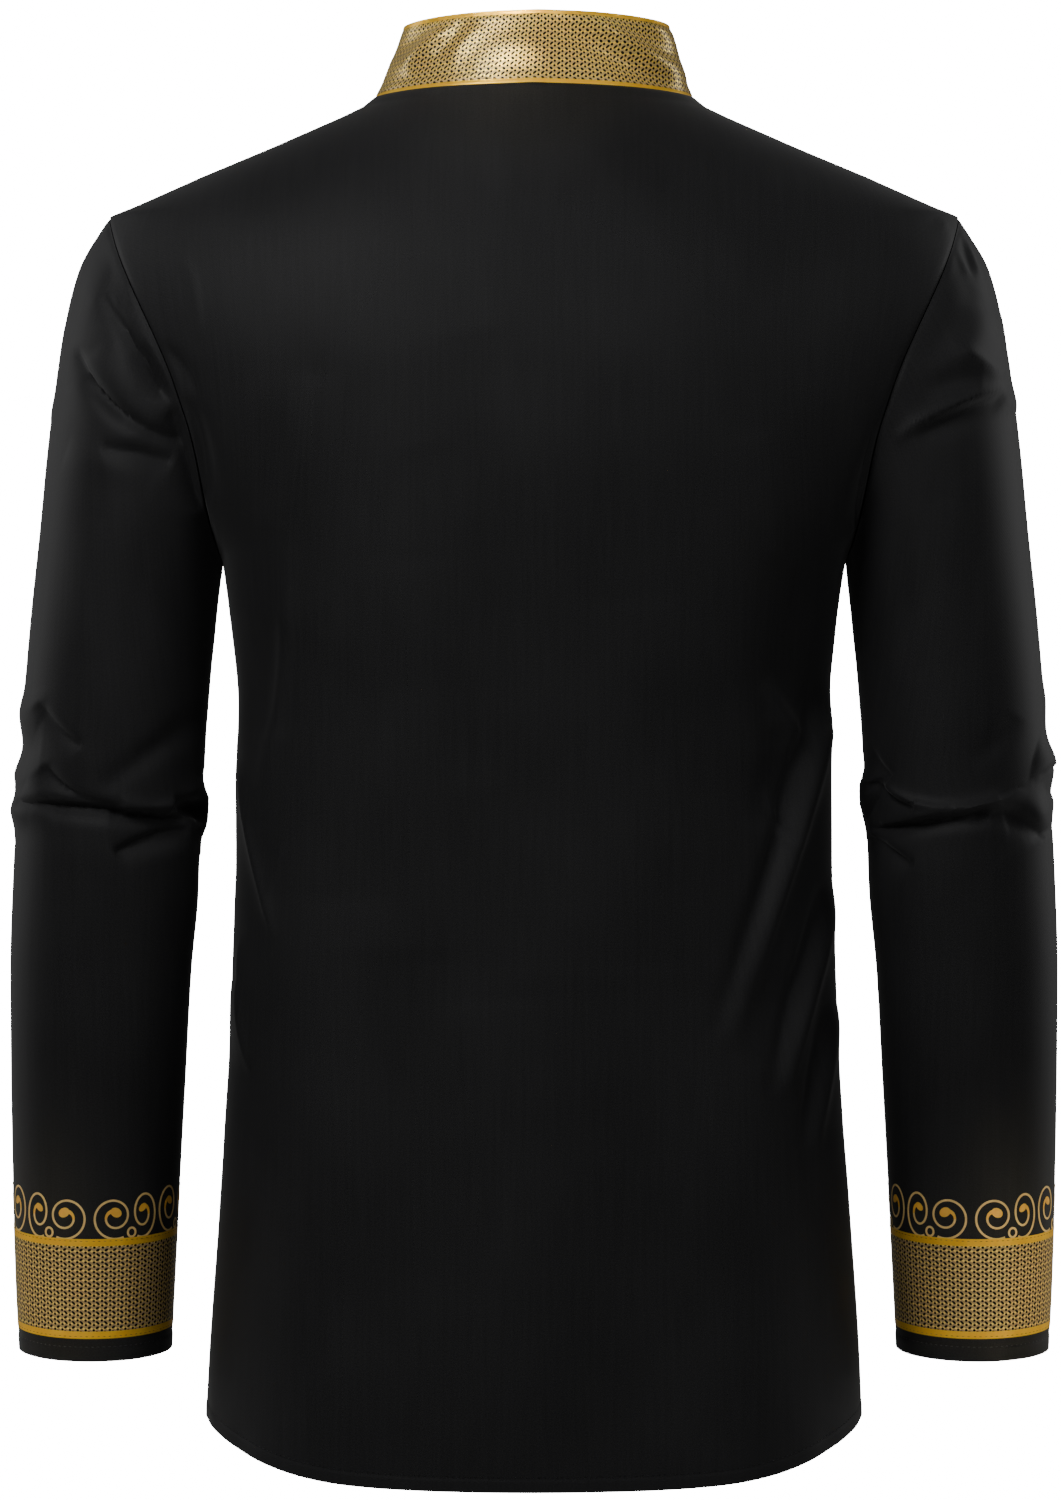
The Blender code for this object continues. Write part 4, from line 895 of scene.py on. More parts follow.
def mesh_volume(points, faces):
    """Signed volume inside the faces, below 0 if they point inwards."""
    a, b, c, d = (points[faces[:, corner]] for corner in range(4))
    return (np.cross(b - a, c - a) * a).sum() + (np.cross(c - a, d - a) * a).sum()


def add_piece(name, points, faces, materials, face_materials=None, uv=None):
    """Object from millimetre points, its origin at the frame's origin."""
    mesh = bpy.data.meshes.new(name)
    mesh.from_pydata((np.asarray(points) * MM).tolist(), [], np.asarray(faces).tolist())
    mesh.polygons.foreach_set("use_smooth", [True] * len(mesh.polygons))
    for material in materials:
        mesh.materials.append(material)
    if face_materials is not None:
        mesh.polygons.foreach_set("material_index", np.asarray(face_materials, np.int32))
    if uv is not None:
        layer = mesh.uv_layers.new(name="cloth_metres")
        layer.data.foreach_set("uv", (uv * MM).astype(np.float32).ravel())
    mesh.update()
    piece = bpy.data.objects.new(name, mesh)
    bpy.context.scene.collection.objects.link(piece)
    return piece


def select_only(piece):
    """Deselect everything, then select one object and make it active."""
    bpy.ops.object.select_all(action="DESELECT")
    piece.select_set(True)
    bpy.context.view_layer.objects.active = piece


def sharpen(piece, degrees):
    """Smooth shading that stays crisp at corners sharper than the angle."""
    select_only(piece)
    bpy.ops.object.shade_smooth_by_angle(angle=math.radians(degrees))


def add_wall(name, outer, inner, wrap, flat, materials, inner_material=0):
    """Closed cloth wall between two grids, with its flat place as a UV map."""
    rows = outer.shape[0] - 1
    columns = outer.shape[1] if wrap else outer.shape[1] - 1
    faces, corners, sides = wall_faces(rows, columns, wrap)
    points = np.concatenate([outer.reshape(-1, 3), inner.reshape(-1, 3)])
    if mesh_volume(points, faces) < 0.0:
        faces = faces[:, ::-1]
        corners = corners[:, ::-1]
    face_materials = np.zeros(len(faces), np.int32)
    face_materials[sides // 2:sides] = inner_material
    piece = add_piece(name, points, faces, materials, face_materials, flat.reshape(-1, 2)[corners].reshape(-1, 2))
    sharpen(piece, 55.0)
    return piece


def panel_flat(outer, middle):
    """Flat place of each panel point: length from the middle and from the hem."""
    across = lengths_along(outer, 1)
    across = across - across[:, middle:middle + 1]
    return np.stack([across, lengths_along(outer, 0)], axis=-1)


def stitch_shapes(line, normals, length, pitch):
    """Points and faces of a row of rice-shaped stitches along a line."""
    steps = np.linalg.norm(np.diff(line, axis=0), axis=1)
    along = np.concatenate([[0.0], np.cumsum(steps)])
    places = np.arange(pitch / 2.0, along[-1] - length / 2.0, pitch)
    points = []
    faces = []
    for place in places:
        ends = [np.array([np.interp(place + half, along, line[:, axis]) for axis in range(3)])
                for half in (-length / 2.0, length / 2.0)]
        up = unit(np.array([np.interp(place, along, normals[:, axis]) for axis in range(3)]))
        middle = np.array([np.interp(place, along, line[:, axis]) for axis in range(3)])
        beside = unit(np.cross(up, ends[1] - ends[0]))
        start = len(points)
        points += [ends[0] - 0.05 * up, ends[1] - 0.05 * up, middle + STITCH_HEIGHT * up,
                   middle + STITCH_HALF_WIDTH * beside, middle - STITCH_HALF_WIDTH * beside, middle - 0.15 * up]
        for a, b, c in ((0, 3, 2), (0, 2, 4), (0, 4, 5), (0, 5, 3), (1, 2, 3), (1, 4, 2), (1, 5, 4), (1, 3, 5)):
            faces.append((start + a, start + c, start + b))
    return points, faces


def add_stitches(name, lines, material):
    """One joined piece of stitch rows. Each line is points, directions, length, pitch."""
    points = []
    faces = []
    for line, normals, length, pitch in lines:
        more_points, more_faces = stitch_shapes(line, normals, length, pitch)
        faces += [tuple(len(points) + corner for corner in face) for face in more_faces]
        points += more_points
    return add_piece(name, points, faces, [material])


# ---- Materials ----

def hex_colour(code):
    """Linear colour of an sRGB hex value."""
    parts = [int(code[place:place + 2], 16) / 255.0 for place in (1, 3, 5)]
    linear = [part / 12.92 if part <= 0.04045 else ((part + 0.055) / 1.055) ** 2.4 for part in parts]
    return (*linear, 1.0)


def new_material(name, **sockets):
    """Material with its shader's uniform values set on the shader itself."""
    material = bpy.data.materials.new(name)
    material.use_nodes = True
    shader = material.node_tree.nodes["Principled BSDF"]
    for socket, value in sockets.items():
        shader.inputs[socket.replace("_", " ")].default_value = value
    return material, shader


def add_node(material, kind, links=None, **settings):
    """Node with its settings. A link or value is given by socket name or number."""
    tree = material.node_tree
    node = tree.nodes.new(kind)
    for name, value in settings.items():
        setattr(node, name, value)
    for socket, value in (links or {}).items():
        if isinstance(value, bpy.types.NodeSocket):
            tree.links.new(value, node.inputs[socket])
        else:
            node.inputs[socket].default_value = value
    return node


def link(material, source, target):
    """Join one socket to another."""
    material.node_tree.links.new(source, target)


# Thread pitch of the weave: real yarns lie about 0.3 mm apart, which is too
# fine to show, so the weave is drawn at 1.4 mm.
WEAVE_PITCH_MM = 1.4
# Uneven yarns show as long faint streaks down the cloth.
SLUB_ACROSS_MM = 2.2
SLUB_ALONG_MM = 60.0
CLOUD_MM = 90.0
# Fibre ends and slight differences between yarns give a fine grain.
GRAIN_MM = 0.8
WEAVE_DEPTH_MM = 0.05


def black_cloth_material():
    """Black polyester and cotton cloth, tightly woven: matt, with a faint soft gloss."""
    material, shader = new_material(
        "black_poplin", Roughness=0.6, Specular_IOR_Level=0.16, Sheen_Weight=0.08, Sheen_Roughness=0.4,
    )
    place = add_node(material, "ShaderNodeUVMap", uv_map="cloth_metres").outputs["UV"]
    slub_place = add_node(material, "ShaderNodeMapping", {
        "Vector": place, "Scale": (1.0 / (SLUB_ACROSS_MM * MM), 1.0 / (SLUB_ALONG_MM * MM), 1.0)}).outputs["Vector"]
    slub = add_node(material, "ShaderNodeTexNoise", {
        "Vector": slub_place, "Scale": 1.0, "Detail": 3.0, "Roughness": 0.6})
    cloud_place = add_node(material, "ShaderNodeMapping", {
        "Vector": place, "Scale": (1.0 / (CLOUD_MM * MM),) * 3}).outputs["Vector"]
    cloud = add_node(material, "ShaderNodeTexNoise", {"Vector": cloud_place, "Scale": 1.0, "Detail": 2.0})
    mix = add_node(material, "ShaderNodeMath", {0: slub.outputs["Fac"], 1: 0.25}, operation="MULTIPLY")
    mix = add_node(material, "ShaderNodeMath", {
        0: cloud.outputs["Fac"], 1: 0.4, 2: mix.outputs[0]}, operation="MULTIPLY_ADD")
    grain = add_node(material, "ShaderNodeTexNoise", {
        "Vector": place, "Scale": 1.0 / (GRAIN_MM * MM), "Detail": 2.0, "Roughness": 0.7})
    mix = add_node(material, "ShaderNodeMath", {
        0: grain.outputs["Fac"], 1: 0.8, 2: mix.outputs[0]}, operation="MULTIPLY_ADD")
    ramp = add_node(material, "ShaderNodeValToRGB", {"Fac": mix.outputs[0]})
    ramp.color_ramp.elements[0].position = 0.5
    ramp.color_ramp.elements[0].color = hex_colour("#171718")
    ramp.color_ramp.elements[1].position = 0.95
    ramp.color_ramp.elements[1].color = hex_colour("#29292a")
    link(material, ramp.outputs["Color"], shader.inputs["Base Color"])

    waves = []
    for direction in ("X", "Y"):
        split = add_node(material, "ShaderNodeSeparateXYZ", {"Vector": place}).outputs[direction]
        turns = add_node(material, "ShaderNodeMath", {
            0: split, 1: 2.0 * math.pi / (WEAVE_PITCH_MM * MM)}, operation="MULTIPLY")
        waves.append(add_node(material, "ShaderNodeMath", {0: turns.outputs[0]}, operation="SINE").outputs[0])
    weave = add_node(material, "ShaderNodeMath", {0: waves[0], 1: waves[1]}, operation="MULTIPLY")
    height = add_node(material, "ShaderNodeMath", {
        0: slub.outputs["Fac"], 1: 0.8, 2: weave.outputs[0]}, operation="MULTIPLY_ADD")
    relief = add_node(material, "ShaderNodeBump", {
        "Height": height.outputs[0], "Strength": 0.25, "Distance": WEAVE_DEPTH_MM * MM})
    link(material, relief.outputs["Normal"], shader.inputs["Normal"])
    return material


def dot_mask(material, place, dot, dot_size):
    """1 inside one printed dot of every repeat, 0 outside it."""
    turned = math.radians(dot.tilt)
    cosine = math.cos(turned)
    sine = math.sin(turned)
    moved = add_node(material, "ShaderNodeVectorMath", {
        0: place, 1: (0.5 - dot.across, 0.5 - dot.up, 0.5)}, operation="ADD").outputs[0]
    cell = add_node(material, "ShaderNodeVectorMath", {0: moved}, operation="FRACTION").outputs[0]
    centred = add_node(material, "ShaderNodeVectorMath", {0: cell, 1: (0.5, 0.5, 0.5)}, operation="SUBTRACT").outputs[0]
    sized = add_node(material, "ShaderNodeVectorMath", {
        0: centred, 1: (DOT_PITCH_ROUND, DOT_PITCH_UP, 0.0)}, operation="MULTIPLY").outputs[0]
    long_way = add_node(material, "ShaderNodeVectorMath", {
        0: sized, 1: (cosine / dot.half_length, sine / dot.half_length, 0.0)}, operation="DOT_PRODUCT")
    short_way = add_node(material, "ShaderNodeVectorMath", {
        0: sized, 1: (-sine / dot.half_width, cosine / dot.half_width, 0.0)}, operation="DOT_PRODUCT")
    both = add_node(material, "ShaderNodeCombineXYZ", {"X": long_way.outputs["Value"], "Y": short_way.outputs["Value"]})
    reach = add_node(material, "ShaderNodeVectorMath", {0: both.outputs[0]}, operation="LENGTH").outputs["Value"]
    return add_node(material, "ShaderNodeMapRange", {
        "Value": reach, "From Min": 0.82 * dot_size, "From Max": 1.12 * dot_size, "To Min": 1.0, "To Max": 0.0},
        interpolation_type="SMOOTHSTEP").outputs["Result"]


# How much of the light the foil sends back as metal does.
FOIL_METAL = 0.7
BORDER_METAL = 0.35
# Sizes of the foil's uneven wear and crinkle, of the ink's wear and of the
# resin's clouding.
BORDER_WEAR_MM = 9.0
FOIL_CRINKLE_MM = 1.6
FOIL_DEPTH_MM = 0.06
INK_WEAR_MM = 3.0
RESIN_CLOUD_MM = 4.0
# A diagonal wave turns 10 radians in one unit of its scale along each axis.
# Here it turns one radian in 1.8 mm, so the thread's shade repeats every
# 11.3 mm. Its plies are far finer than that and aren't drawn.
WAVE_RADIANS = 10.0
SHADE_RADIAN_MM = 1.8


def gold_print_material(name, low, high, border, dark, light, dot_size):
    """Gold foil print on a brown ground: solid gold borders, and a dark dotted repeat between them."""
    material, shader = new_material(name, Roughness=0.29, Specular_IOR_Level=0.12)
    place = add_node(material, "ShaderNodeUVMap", uv_map="cloth_metres").outputs["UV"]
    cells = add_node(material, "ShaderNodeVectorMath", {
        0: place, 1: (1.0 / (DOT_PITCH_ROUND * MM), 1.0 / (DOT_PITCH_UP * MM), 0.0)}, operation="MULTIPLY").outputs[0]
    dots = None
    for dot in DOTS:
        mask = dot_mask(material, cells, dot, dot_size)
        dots = mask if dots is None else add_node(
            material, "ShaderNodeMath", {0: dots, 1: mask}, operation="MAXIMUM").outputs[0]

    split = add_node(material, "ShaderNodeSeparateXYZ", {"Vector": cells})
    zigzag = add_node(material, "ShaderNodeMath", {0: split.outputs["X"], 1: 0.5}, operation="PINGPONG").outputs[0]
    lines = add_node(material, "ShaderNodeMath", {
        0: split.outputs["Y"], 1: 2.0, 2: zigzag}, operation="MULTIPLY_ADD").outputs[0]
    lines = add_node(material, "ShaderNodeMath", {0: lines, 1: 0.5}, operation="PINGPONG").outputs[0]
    pale = add_node(material, "ShaderNodeMapRange", {
        "Value": lines, "From Min": 0.12, "From Max": 0.38, "To Min": 1.0, "To Max": 0.15}).outputs["Result"]
    ground = add_node(material, "ShaderNodeMix", {
        "Factor": pale, 6: hex_colour(dark), 7: hex_colour(light)}, data_type="RGBA").outputs[2]
    dotted = add_node(material, "ShaderNodeMix", {
        "Factor": dots, 6: ground, 7: hex_colour("#080506")}, data_type="RGBA").outputs[2]

    height = add_node(material, "ShaderNodeSeparateXYZ", {"Vector": place}).outputs["Y"]
    above = add_node(material, "ShaderNodeMath", {
        0: height, 1: (high - border) * MM}, operation="GREATER_THAN").outputs[0]
    below = add_node(material, "ShaderNodeMath", {
        0: height, 1: (low + border) * MM}, operation="LESS_THAN").outputs[0]
    edge = add_node(material, "ShaderNodeMath", {0: above, 1: below}, operation="MAXIMUM").outputs[0]
    wear = add_node(material, "ShaderNodeTexNoise", {
        "Vector": place, "Scale": 1.0 / (BORDER_WEAR_MM * MM), "Detail": 3.0})
    border_gold = add_node(material, "ShaderNodeMix", {
        "Factor": wear.outputs["Fac"], 6: hex_colour("#e8ac1c"), 7: hex_colour("#ffd03c")}, data_type="RGBA").outputs[2]
    colour = add_node(material, "ShaderNodeMix", {
        "Factor": edge, 6: dotted, 7: border_gold}, data_type="RGBA").outputs[2]
    link(material, colour, shader.inputs["Base Color"])
    bare = add_node(material, "ShaderNodeMath", {0: 1.0, 1: dots}, operation="SUBTRACT").outputs[0]
    metal = add_node(material, "ShaderNodeMath", {0: pale, 1: bare}, operation="MULTIPLY").outputs[0]
    metal = add_node(material, "ShaderNodeMath", {0: metal, 1: FOIL_METAL}, operation="MULTIPLY").outputs[0]
    border_metal = add_node(material, "ShaderNodeMath", {0: edge, 1: BORDER_METAL}, operation="MULTIPLY").outputs[0]
    metal = add_node(material, "ShaderNodeMath", {0: metal, 1: border_metal}, operation="MAXIMUM").outputs[0]
    link(material, metal, shader.inputs["Metallic"])

    foil = add_node(material, "ShaderNodeTexNoise", {
        "Vector": place, "Scale": 1.0 / (FOIL_CRINKLE_MM * MM), "Detail": 2.0})
    height = add_node(material, "ShaderNodeMath", {0: foil.outputs["Fac"], 1: dots}, operation="SUBTRACT")
    relief = add_node(material, "ShaderNodeBump", {
        "Height": height.outputs[0], "Strength": 0.3, "Distance": FOIL_DEPTH_MM * MM})
    link(material, relief.outputs["Normal"], shader.inputs["Normal"])
    return material


def gold_line_material(name, dark, light):
    """Gold foil ink of the scrolls, a little uneven in its shine."""
    material, shader = new_material(name, Roughness=0.4, Metallic=0.25)
    place = add_node(material, "ShaderNodeTexCoord").outputs["Object"]
    wear = add_node(material, "ShaderNodeTexNoise", {
        "Vector": place, "Scale": 1.0 / (INK_WEAR_MM * MM), "Detail": 3.0})
    colour = add_node(material, "ShaderNodeMix", {
        "Factor": wear.outputs["Fac"], 6: hex_colour(dark), 7: hex_colour(light)}, data_type="RGBA").outputs[2]
    link(material, colour, shader.inputs["Base Color"])
    return material


def thread_material(name, dark, light):
    """Twisted polyester sewing thread: slightly glossy, its shade uneven from stitch to stitch."""
    material, shader = new_material(name, Roughness=0.5, Specular_IOR_Level=0.35)
    place = add_node(material, "ShaderNodeTexCoord").outputs["Object"]
    shade = add_node(material, "ShaderNodeTexWave", {
        "Vector": place, "Scale": 1.0 / (WAVE_RADIANS * SHADE_RADIAN_MM * MM), "Distortion": 1.5},
        bands_direction="DIAGONAL")
    colour = add_node(material, "ShaderNodeMix", {
        "Factor": shade.outputs["Fac"], 6: hex_colour(dark), 7: hex_colour(light)}, data_type="RGBA").outputs[2]
    link(material, colour, shader.inputs["Base Color"])
    return material


def button_material():
    """Moulded polyester resin button: dark, smooth and fairly glossy, with faint clouding."""
    material, shader = new_material("resin_button", Roughness=0.28, Specular_IOR_Level=0.5, IOR=1.54)
    place = add_node(material, "ShaderNodeTexCoord").outputs["Object"]
    cloud = add_node(material, "ShaderNodeTexNoise", {
        "Vector": place, "Scale": 1.0 / (RESIN_CLOUD_MM * MM), "Detail": 2.0})
    colour = add_node(material, "ShaderNodeMix", {
        "Factor": cloud.outputs["Fac"],
        6: hex_colour("#0b0b0c"), 7: hex_colour("#1d1c1c")}, data_type="RGBA").outputs[2]
    link(material, colour, shader.inputs["Base Color"])
    return material


BLACK = black_cloth_material()
COLLAR_PRINT = gold_print_material(
    "gold_foil_print_collar", 0.0, COLLAR_HEIGHT - SEAM_GAP, COLLAR_BORDER, "#b09676", "#ffdc5c", COLLAR_DOT_SIZE)
CUFF_PRINT = gold_print_material(
    "gold_foil_print_cuff", BAND_BOTTOM, BAND_TOP, BAND_BORDER, "#8f7668", "#ffe07c", CUFF_DOT_SIZE)
SCROLL_LINES = gold_line_material("gold_foil_lines", "#d8b068", "#fcdc94")
SCROLL_HEADS = gold_line_material("gold_foil_heads", "#eca828", "#ffcc58")
BLACK_THREAD = thread_material("black_sewing_thread", "#0c0c0d", "#26262a")
GOLD_THREAD = thread_material("gold_sewing_thread", "#7a5a1c", "#b48c34")
RESIN = button_material()


# ---- The shirt ----

def declare(piece, slot, *nodes):
    """The piece rides on the shirt and stands for its nodes. Its slot is not used."""
    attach(piece, "root")
    if nodes:
        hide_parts(*nodes)


def build_back():
    """The back, one piece from the left side seam round to the right."""
    left, left_normals = half_panel_cloth(1, 1.0)
    right, right_normals = half_panel_cloth(1, -1.0)
    outer = np.concatenate([right[:, :0:-1], left], axis=1)
    normals = np.concatenate([right_normals[:, :0:-1], left_normals], axis=1)
    middle = right.shape[1] - 1
    piece = add_wall("back_cloth", outer, outer - CLOTH * normals, False, panel_flat(outer, middle), [BLACK])
    declare(piece, "black_cloth", "back")
    return piece, outer, normals, middle


def build_front(name, node, mirror):
    """One front panel, from the middle opening to its side seam."""
    outer, normals = half_panel_cloth(-1, mirror)
    outer[:, 0, 0] = mirror * SEAM_GAP / 2.0
    piece = add_wall(name, outer, outer - CLOTH * normals, False, panel_flat(outer, 0), [BLACK])
    declare(piece, "black_cloth", node)
    return piece, outer, normals


def along_rows(values, x_values, x):
    """Values of each row of a panel at distance x from the middle."""
    return np.array([[np.interp(abs(x), np.abs(xs), row[:, axis]) for axis in range(3)]
                     for xs, row in zip(x_values, values)])


def build_placket(left, left_normals, right, right_normals):
    """Button strip over the meeting front edges, made from their points."""
    places = np.array([16.0, 15.7, 15.0, 14.2, 13.8, PLACKET_STITCH, 13.0, 12.2, 10.0, 7.0, 3.5])
    places = np.concatenate([places, [0.0], -places[::-1]])
    columns = []
    directions = []
    for x in places:
        panel, normals = (left, left_normals) if x >= 0.0 else (right, right_normals)
        columns.append(along_rows(panel, panel[..., 0], x))
        directions.append(along_rows(normals, panel[..., 0], x))
    base = np.stack(columns, axis=1)
    normals = unit(np.stack(directions, axis=1))
    stitched = STITCH_DIP * bump(np.abs(places) - PLACKET_STITCH, STITCH_DIP_WIDTH)
    rolled = PLACKET_ROLL * smooth_step(PLACKET_HALF_WIDTH - 0.8, PLACKET_HALF_WIDTH, np.abs(places))
    height = lengths_along(base, 0)
    ripple = 0.12 * uneven_wave(height * 1.3) * np.sign(places)[None, :] * smooth_step(6.0, 16.0, np.abs(places))
    outer = base + (STRIP_RISE + ripple - (stitched + rolled)[None, :])[..., None] * normals
    inner = base + (STRIP_RISE - PLACKET_CLOTH) * normals
    piece = add_wall("placket_cloth", outer, inner, False, panel_flat(outer, len(places) // 2), [BLACK])
    declare(piece, "black_cloth", "placket")
    return piece, outer, normals, places


def collar_line(left_front, right_front, back, middle):
    """Neck line from the left front end round the back to the right front end."""
    columns = column_places()
    count = int(np.sum(columns <= NECK_COLUMNS)) - 1
    left = left_front[-1, :count + 1]
    right = right_front[-1, :count + 1]
    behind = back[-1, middle - count + 1:middle + count][::-1]
    line = np.concatenate([left, behind, right[::-1]])
    along = lengths_along(line, 0)
    start = float(np.interp(COLLAR_FRONT_GAP, line[:20, 0], along[:20]))
    near_end = np.array([0.0, 0.3, 0.7, 1.2, 1.9, 2.8, 4.0, 5.4, 7.0, 9.0, 11.0, 13.0])
    whole = along[-1] - 2.0 * start
    even = np.linspace(near_end[-1], whole - near_end[-1], 216)[1:-1]
    places = start + np.concatenate([near_end, even, whole - near_end[::-1]])
    return np.stack([np.interp(places, along, line[:, axis]) for axis in range(3)], axis=-1)


def build_collar(line):
    """Stand collar leaning in, open at the front, with rounded corners and a folded top."""
    line = line.copy()
    line[:, 2] += COLLAR_SEAM_RISE
    rise = COLLAR_HEIGHT - SEAM_GAP
    ends_in = np.clip(np.abs(line[:, 0]) - COLLAR_FRONT_GAP, 0.0, COLLAR_CORNER)
    lost = COLLAR_CORNER - np.sqrt(np.maximum(COLLAR_CORNER**2 - (COLLAR_CORNER - ends_in) ** 2, 0.0))
    height = np.where(line[:, 1] < 0.0, rise - lost, rise)
    near_seam = [0.0, 0.012, 0.03, 0.05, 0.065]
    near_top = [0.935, 0.95, 0.97, 0.985, 1.0]
    spots = np.concatenate([near_seam, np.linspace(0.08, 0.92, 26), near_top])
    lean = spots[:, None] * (height / rise)[None, :]
    outer = np.zeros((len(spots), len(line), 3))
    behind = smooth_step(-30.0, 30.0, line[None, :, 1])
    outer[..., 0] = line[:, 0] * (1.0 + (COLLAR_TOP_HALF_WIDTH / NECK_HALF_WIDTH - 1.0) * lean)
    outer[..., 0] += COLLAR_TOP_SHIFT * lean * behind
    outer[..., 1] = line[:, 1] * (1.0 + (COLLAR_TOP_DEPTH_RATIO - 1.0) * lean)
    outer[..., 2] = line[:, 2] + spots[:, None] * height[None, :]
    around = np.gradient(outer, axis=1)
    level = unit(np.stack([around[..., 1], -around[..., 0], np.zeros(around.shape[:-1])], axis=-1))
    level = level * np.where((level * outer).sum(axis=-1, keepdims=True) < 0.0, -1.0, 1.0)

    up = spots[:, None] * height[None, :]
    down = height[None, :] - up
    fade = smooth_step(0.0, 6.0, up) * smooth_step(0.0, 5.0, down)
    front_creases = mirrored(COLLAR_CREASES, COLLAR_FRONT_SHIFT, COLLAR_FRONT_SHARE)
    rise_out = all_folds_rise(outer, level, COLLAR_CREASES, front_creases, BODY_FACING) * fade
    dips = COLLAR_STITCH_DIP * bump(up - COLLAR_BORDER, COLLAR_STITCH_DIP_WIDTH)
    dips = dips + COLLAR_STITCH_DIP * bump(down - COLLAR_BORDER, COLLAR_STITCH_DIP_WIDTH)
    over_seam = COLLAR_SEAM_OUT * (1.0 - smooth_step(1.0, 9.0, up))
    outer = outer + (rise_out - dips + over_seam)[..., None] * level
    inner = outer - (COLLAR_CLOTH - 0.9 * bump(up, 2.0) - 1.0 * bump(down, 1.3))[..., None] * level
    inner[-1, :, 2] -= 0.15
    along = lengths_along(line, 0)
    along = along - along[-1] / 2.0
    flat = np.stack([np.broadcast_to(along, up.shape), up], axis=-1)
    piece = add_wall("collar_cloth", outer, inner, False, flat, [COLLAR_PRINT, BLACK], 1)
    declare(piece, "gold_printed_cloth", "collar")
    return piece, outer, level, up, down


class Cuff:
    """The lower sleeve as a map from lengths round and up to points on the cloth."""

    def __init__(self, outer, normals, stations, mirror, shift):
        """Measure round each row of the sleeve from the middle behind."""
        back = SLEEVE_COLUMNS // 4
        ring = np.concatenate([outer, outer[:, :1]], axis=1)
        around = lengths_along(ring, 1)
        self.around = (around - around[:, back:back + 1]) * -mirror
        self.ring = ring
        self.ring_normals = np.concatenate([normals, normals[:, :1]], axis=1)
        self.up = stations[-1] - stations
        self.whole = np.abs(around[:, -1])
        self.shift = shift

    def spot(self, place, height):
        """Point and outward direction at a length round from the middle behind, and a height."""
        row = np.interp(height, self.up[::-1], np.arange(len(self.up))[::-1])
        low = int(np.clip(np.floor(row), 0, len(self.up) - 2))
        points = []
        for index in (low, low + 1):
            around = self.around[index]
            sign = 1.0 if around[-1] > around[0] else -1.0
            first, last = sorted((around[0], around[-1]))
            target = (place + self.shift - first) % (last - first) + first
            column = np.interp(target * sign, around * sign, np.arange(len(around)))
            left = int(np.clip(np.floor(column), 0, len(around) - 2))
            part = column - left
            points.append((self.ring[index, left] * (1.0 - part) + self.ring[index, left + 1] * part,
                           self.ring_normals[index, left] * (1.0 - part) + self.ring_normals[index, left + 1] * part))
        part = row - low
        point = points[0][0] * (1.0 - part) + points[1][0] * part
        return point, unit(points[0][1] * (1.0 - part) + points[1][1] * part)


def ribbon(cuff, path, widths, rise):
    """Points and faces of a thin printed line along a flat path on the cuff."""
    path = np.array(path)
    heading = unit(np.gradient(path, axis=0))
    beside = np.stack([-heading[:, 1], heading[:, 0]], axis=-1)
    points = []
    for spot, side, width in zip(path, beside, widths):
        for edge in (width / 2.0, -width / 2.0):
            place, up = spot + side * edge
            point, normal = cuff.spot(place, up)
            points += [point + rise * normal, point + PRINT_BACK * normal]
    faces = []
    for index in range(len(path) - 1):
        now, later = 4 * index, 4 * index + 4
        faces += [(now, now + 2, later + 2, later), (now + 1, later + 1, later + 3, now + 3),
                  (now, later, later + 1, now + 1), (now + 2, now + 3, later + 3, later + 2)]
    last = 4 * (len(path) - 1)
    faces += [(0, 1, 3, 2), (last, last + 2, last + 3, last + 1)]
    return points, faces


def scroll_path(scroll, side):
    """Flat path and line widths of one scroll that winds in to a comma head."""
    angle = np.linspace(SCROLL_START, SCROLL_END, 100)
    share = (angle - SCROLL_START) / (SCROLL_END - SCROLL_START)
    reach = SCROLL_REACH_START + (SCROLL_REACH_END - SCROLL_REACH_START) * share
    turn = np.radians(angle)
    across = scroll.turn * side * reach * np.cos(turn) * scroll.wide
    up = BAND_TOP + scroll.height + reach * np.sin(turn) * scroll.tall
    path = np.stack([side * scroll.place + across, up], axis=-1)
    path[:, 1] = np.maximum(path[:, 1], BAND_TOP - SCROLL_SINK)
    swell = smooth_step(COMMA_START, SCROLL_END, angle)
    widths = SCROLL_LINE + (COMMA_WIDTH - SCROLL_LINE) * min(scroll.wide, 1.0) * swell
    return path, widths, int(np.searchsorted(angle, COMMA_START + HEAD_START))


def comma_head(path, scroll):
    """Path and widths of the full round end of a scroll, an ellipse along its line."""
    middle = path[-1]
    heading = unit(path[-1] - path[-4])
    long_half = HEAD_LENGTH / 2.0 * min(scroll.wide, 1.0) ** 0.5
    spots = np.cos(np.linspace(math.pi, 0.0, 15)) * long_half
    widths = HEAD_WIDTH * min(scroll.wide, 1.0) * np.sqrt(np.maximum(1.0 - (spots / long_half) ** 2, 0.003))
    return middle + spots[:, None] * heading, widths


def build_cuff_print(name, cuff):
    """Printed band round the cuff, a thin film over the cloth's own points."""
    rows = (cuff.up >= BAND_BOTTOM - 0.01) & (cuff.up <= BAND_TOP + 0.01)
    ring = cuff.ring[rows][:, :-1]
    normals = cuff.ring_normals[rows][:, :-1]
    around = (cuff.around[rows] - cuff.around[rows][:, :1]) / cuff.whole[rows][:, None]
    around = around * CUFF_CELLS * DOT_PITCH_ROUND
    flat = np.stack([around, np.broadcast_to(cuff.up[rows][:, None], around.shape)], axis=-1)
    piece = add_wall(name, ring + PRINT_RISE * normals, ring + PRINT_BACK * normals, True, flat, [CUFF_PRINT])
    declare(piece, "gold_printed_cloth")
    return piece


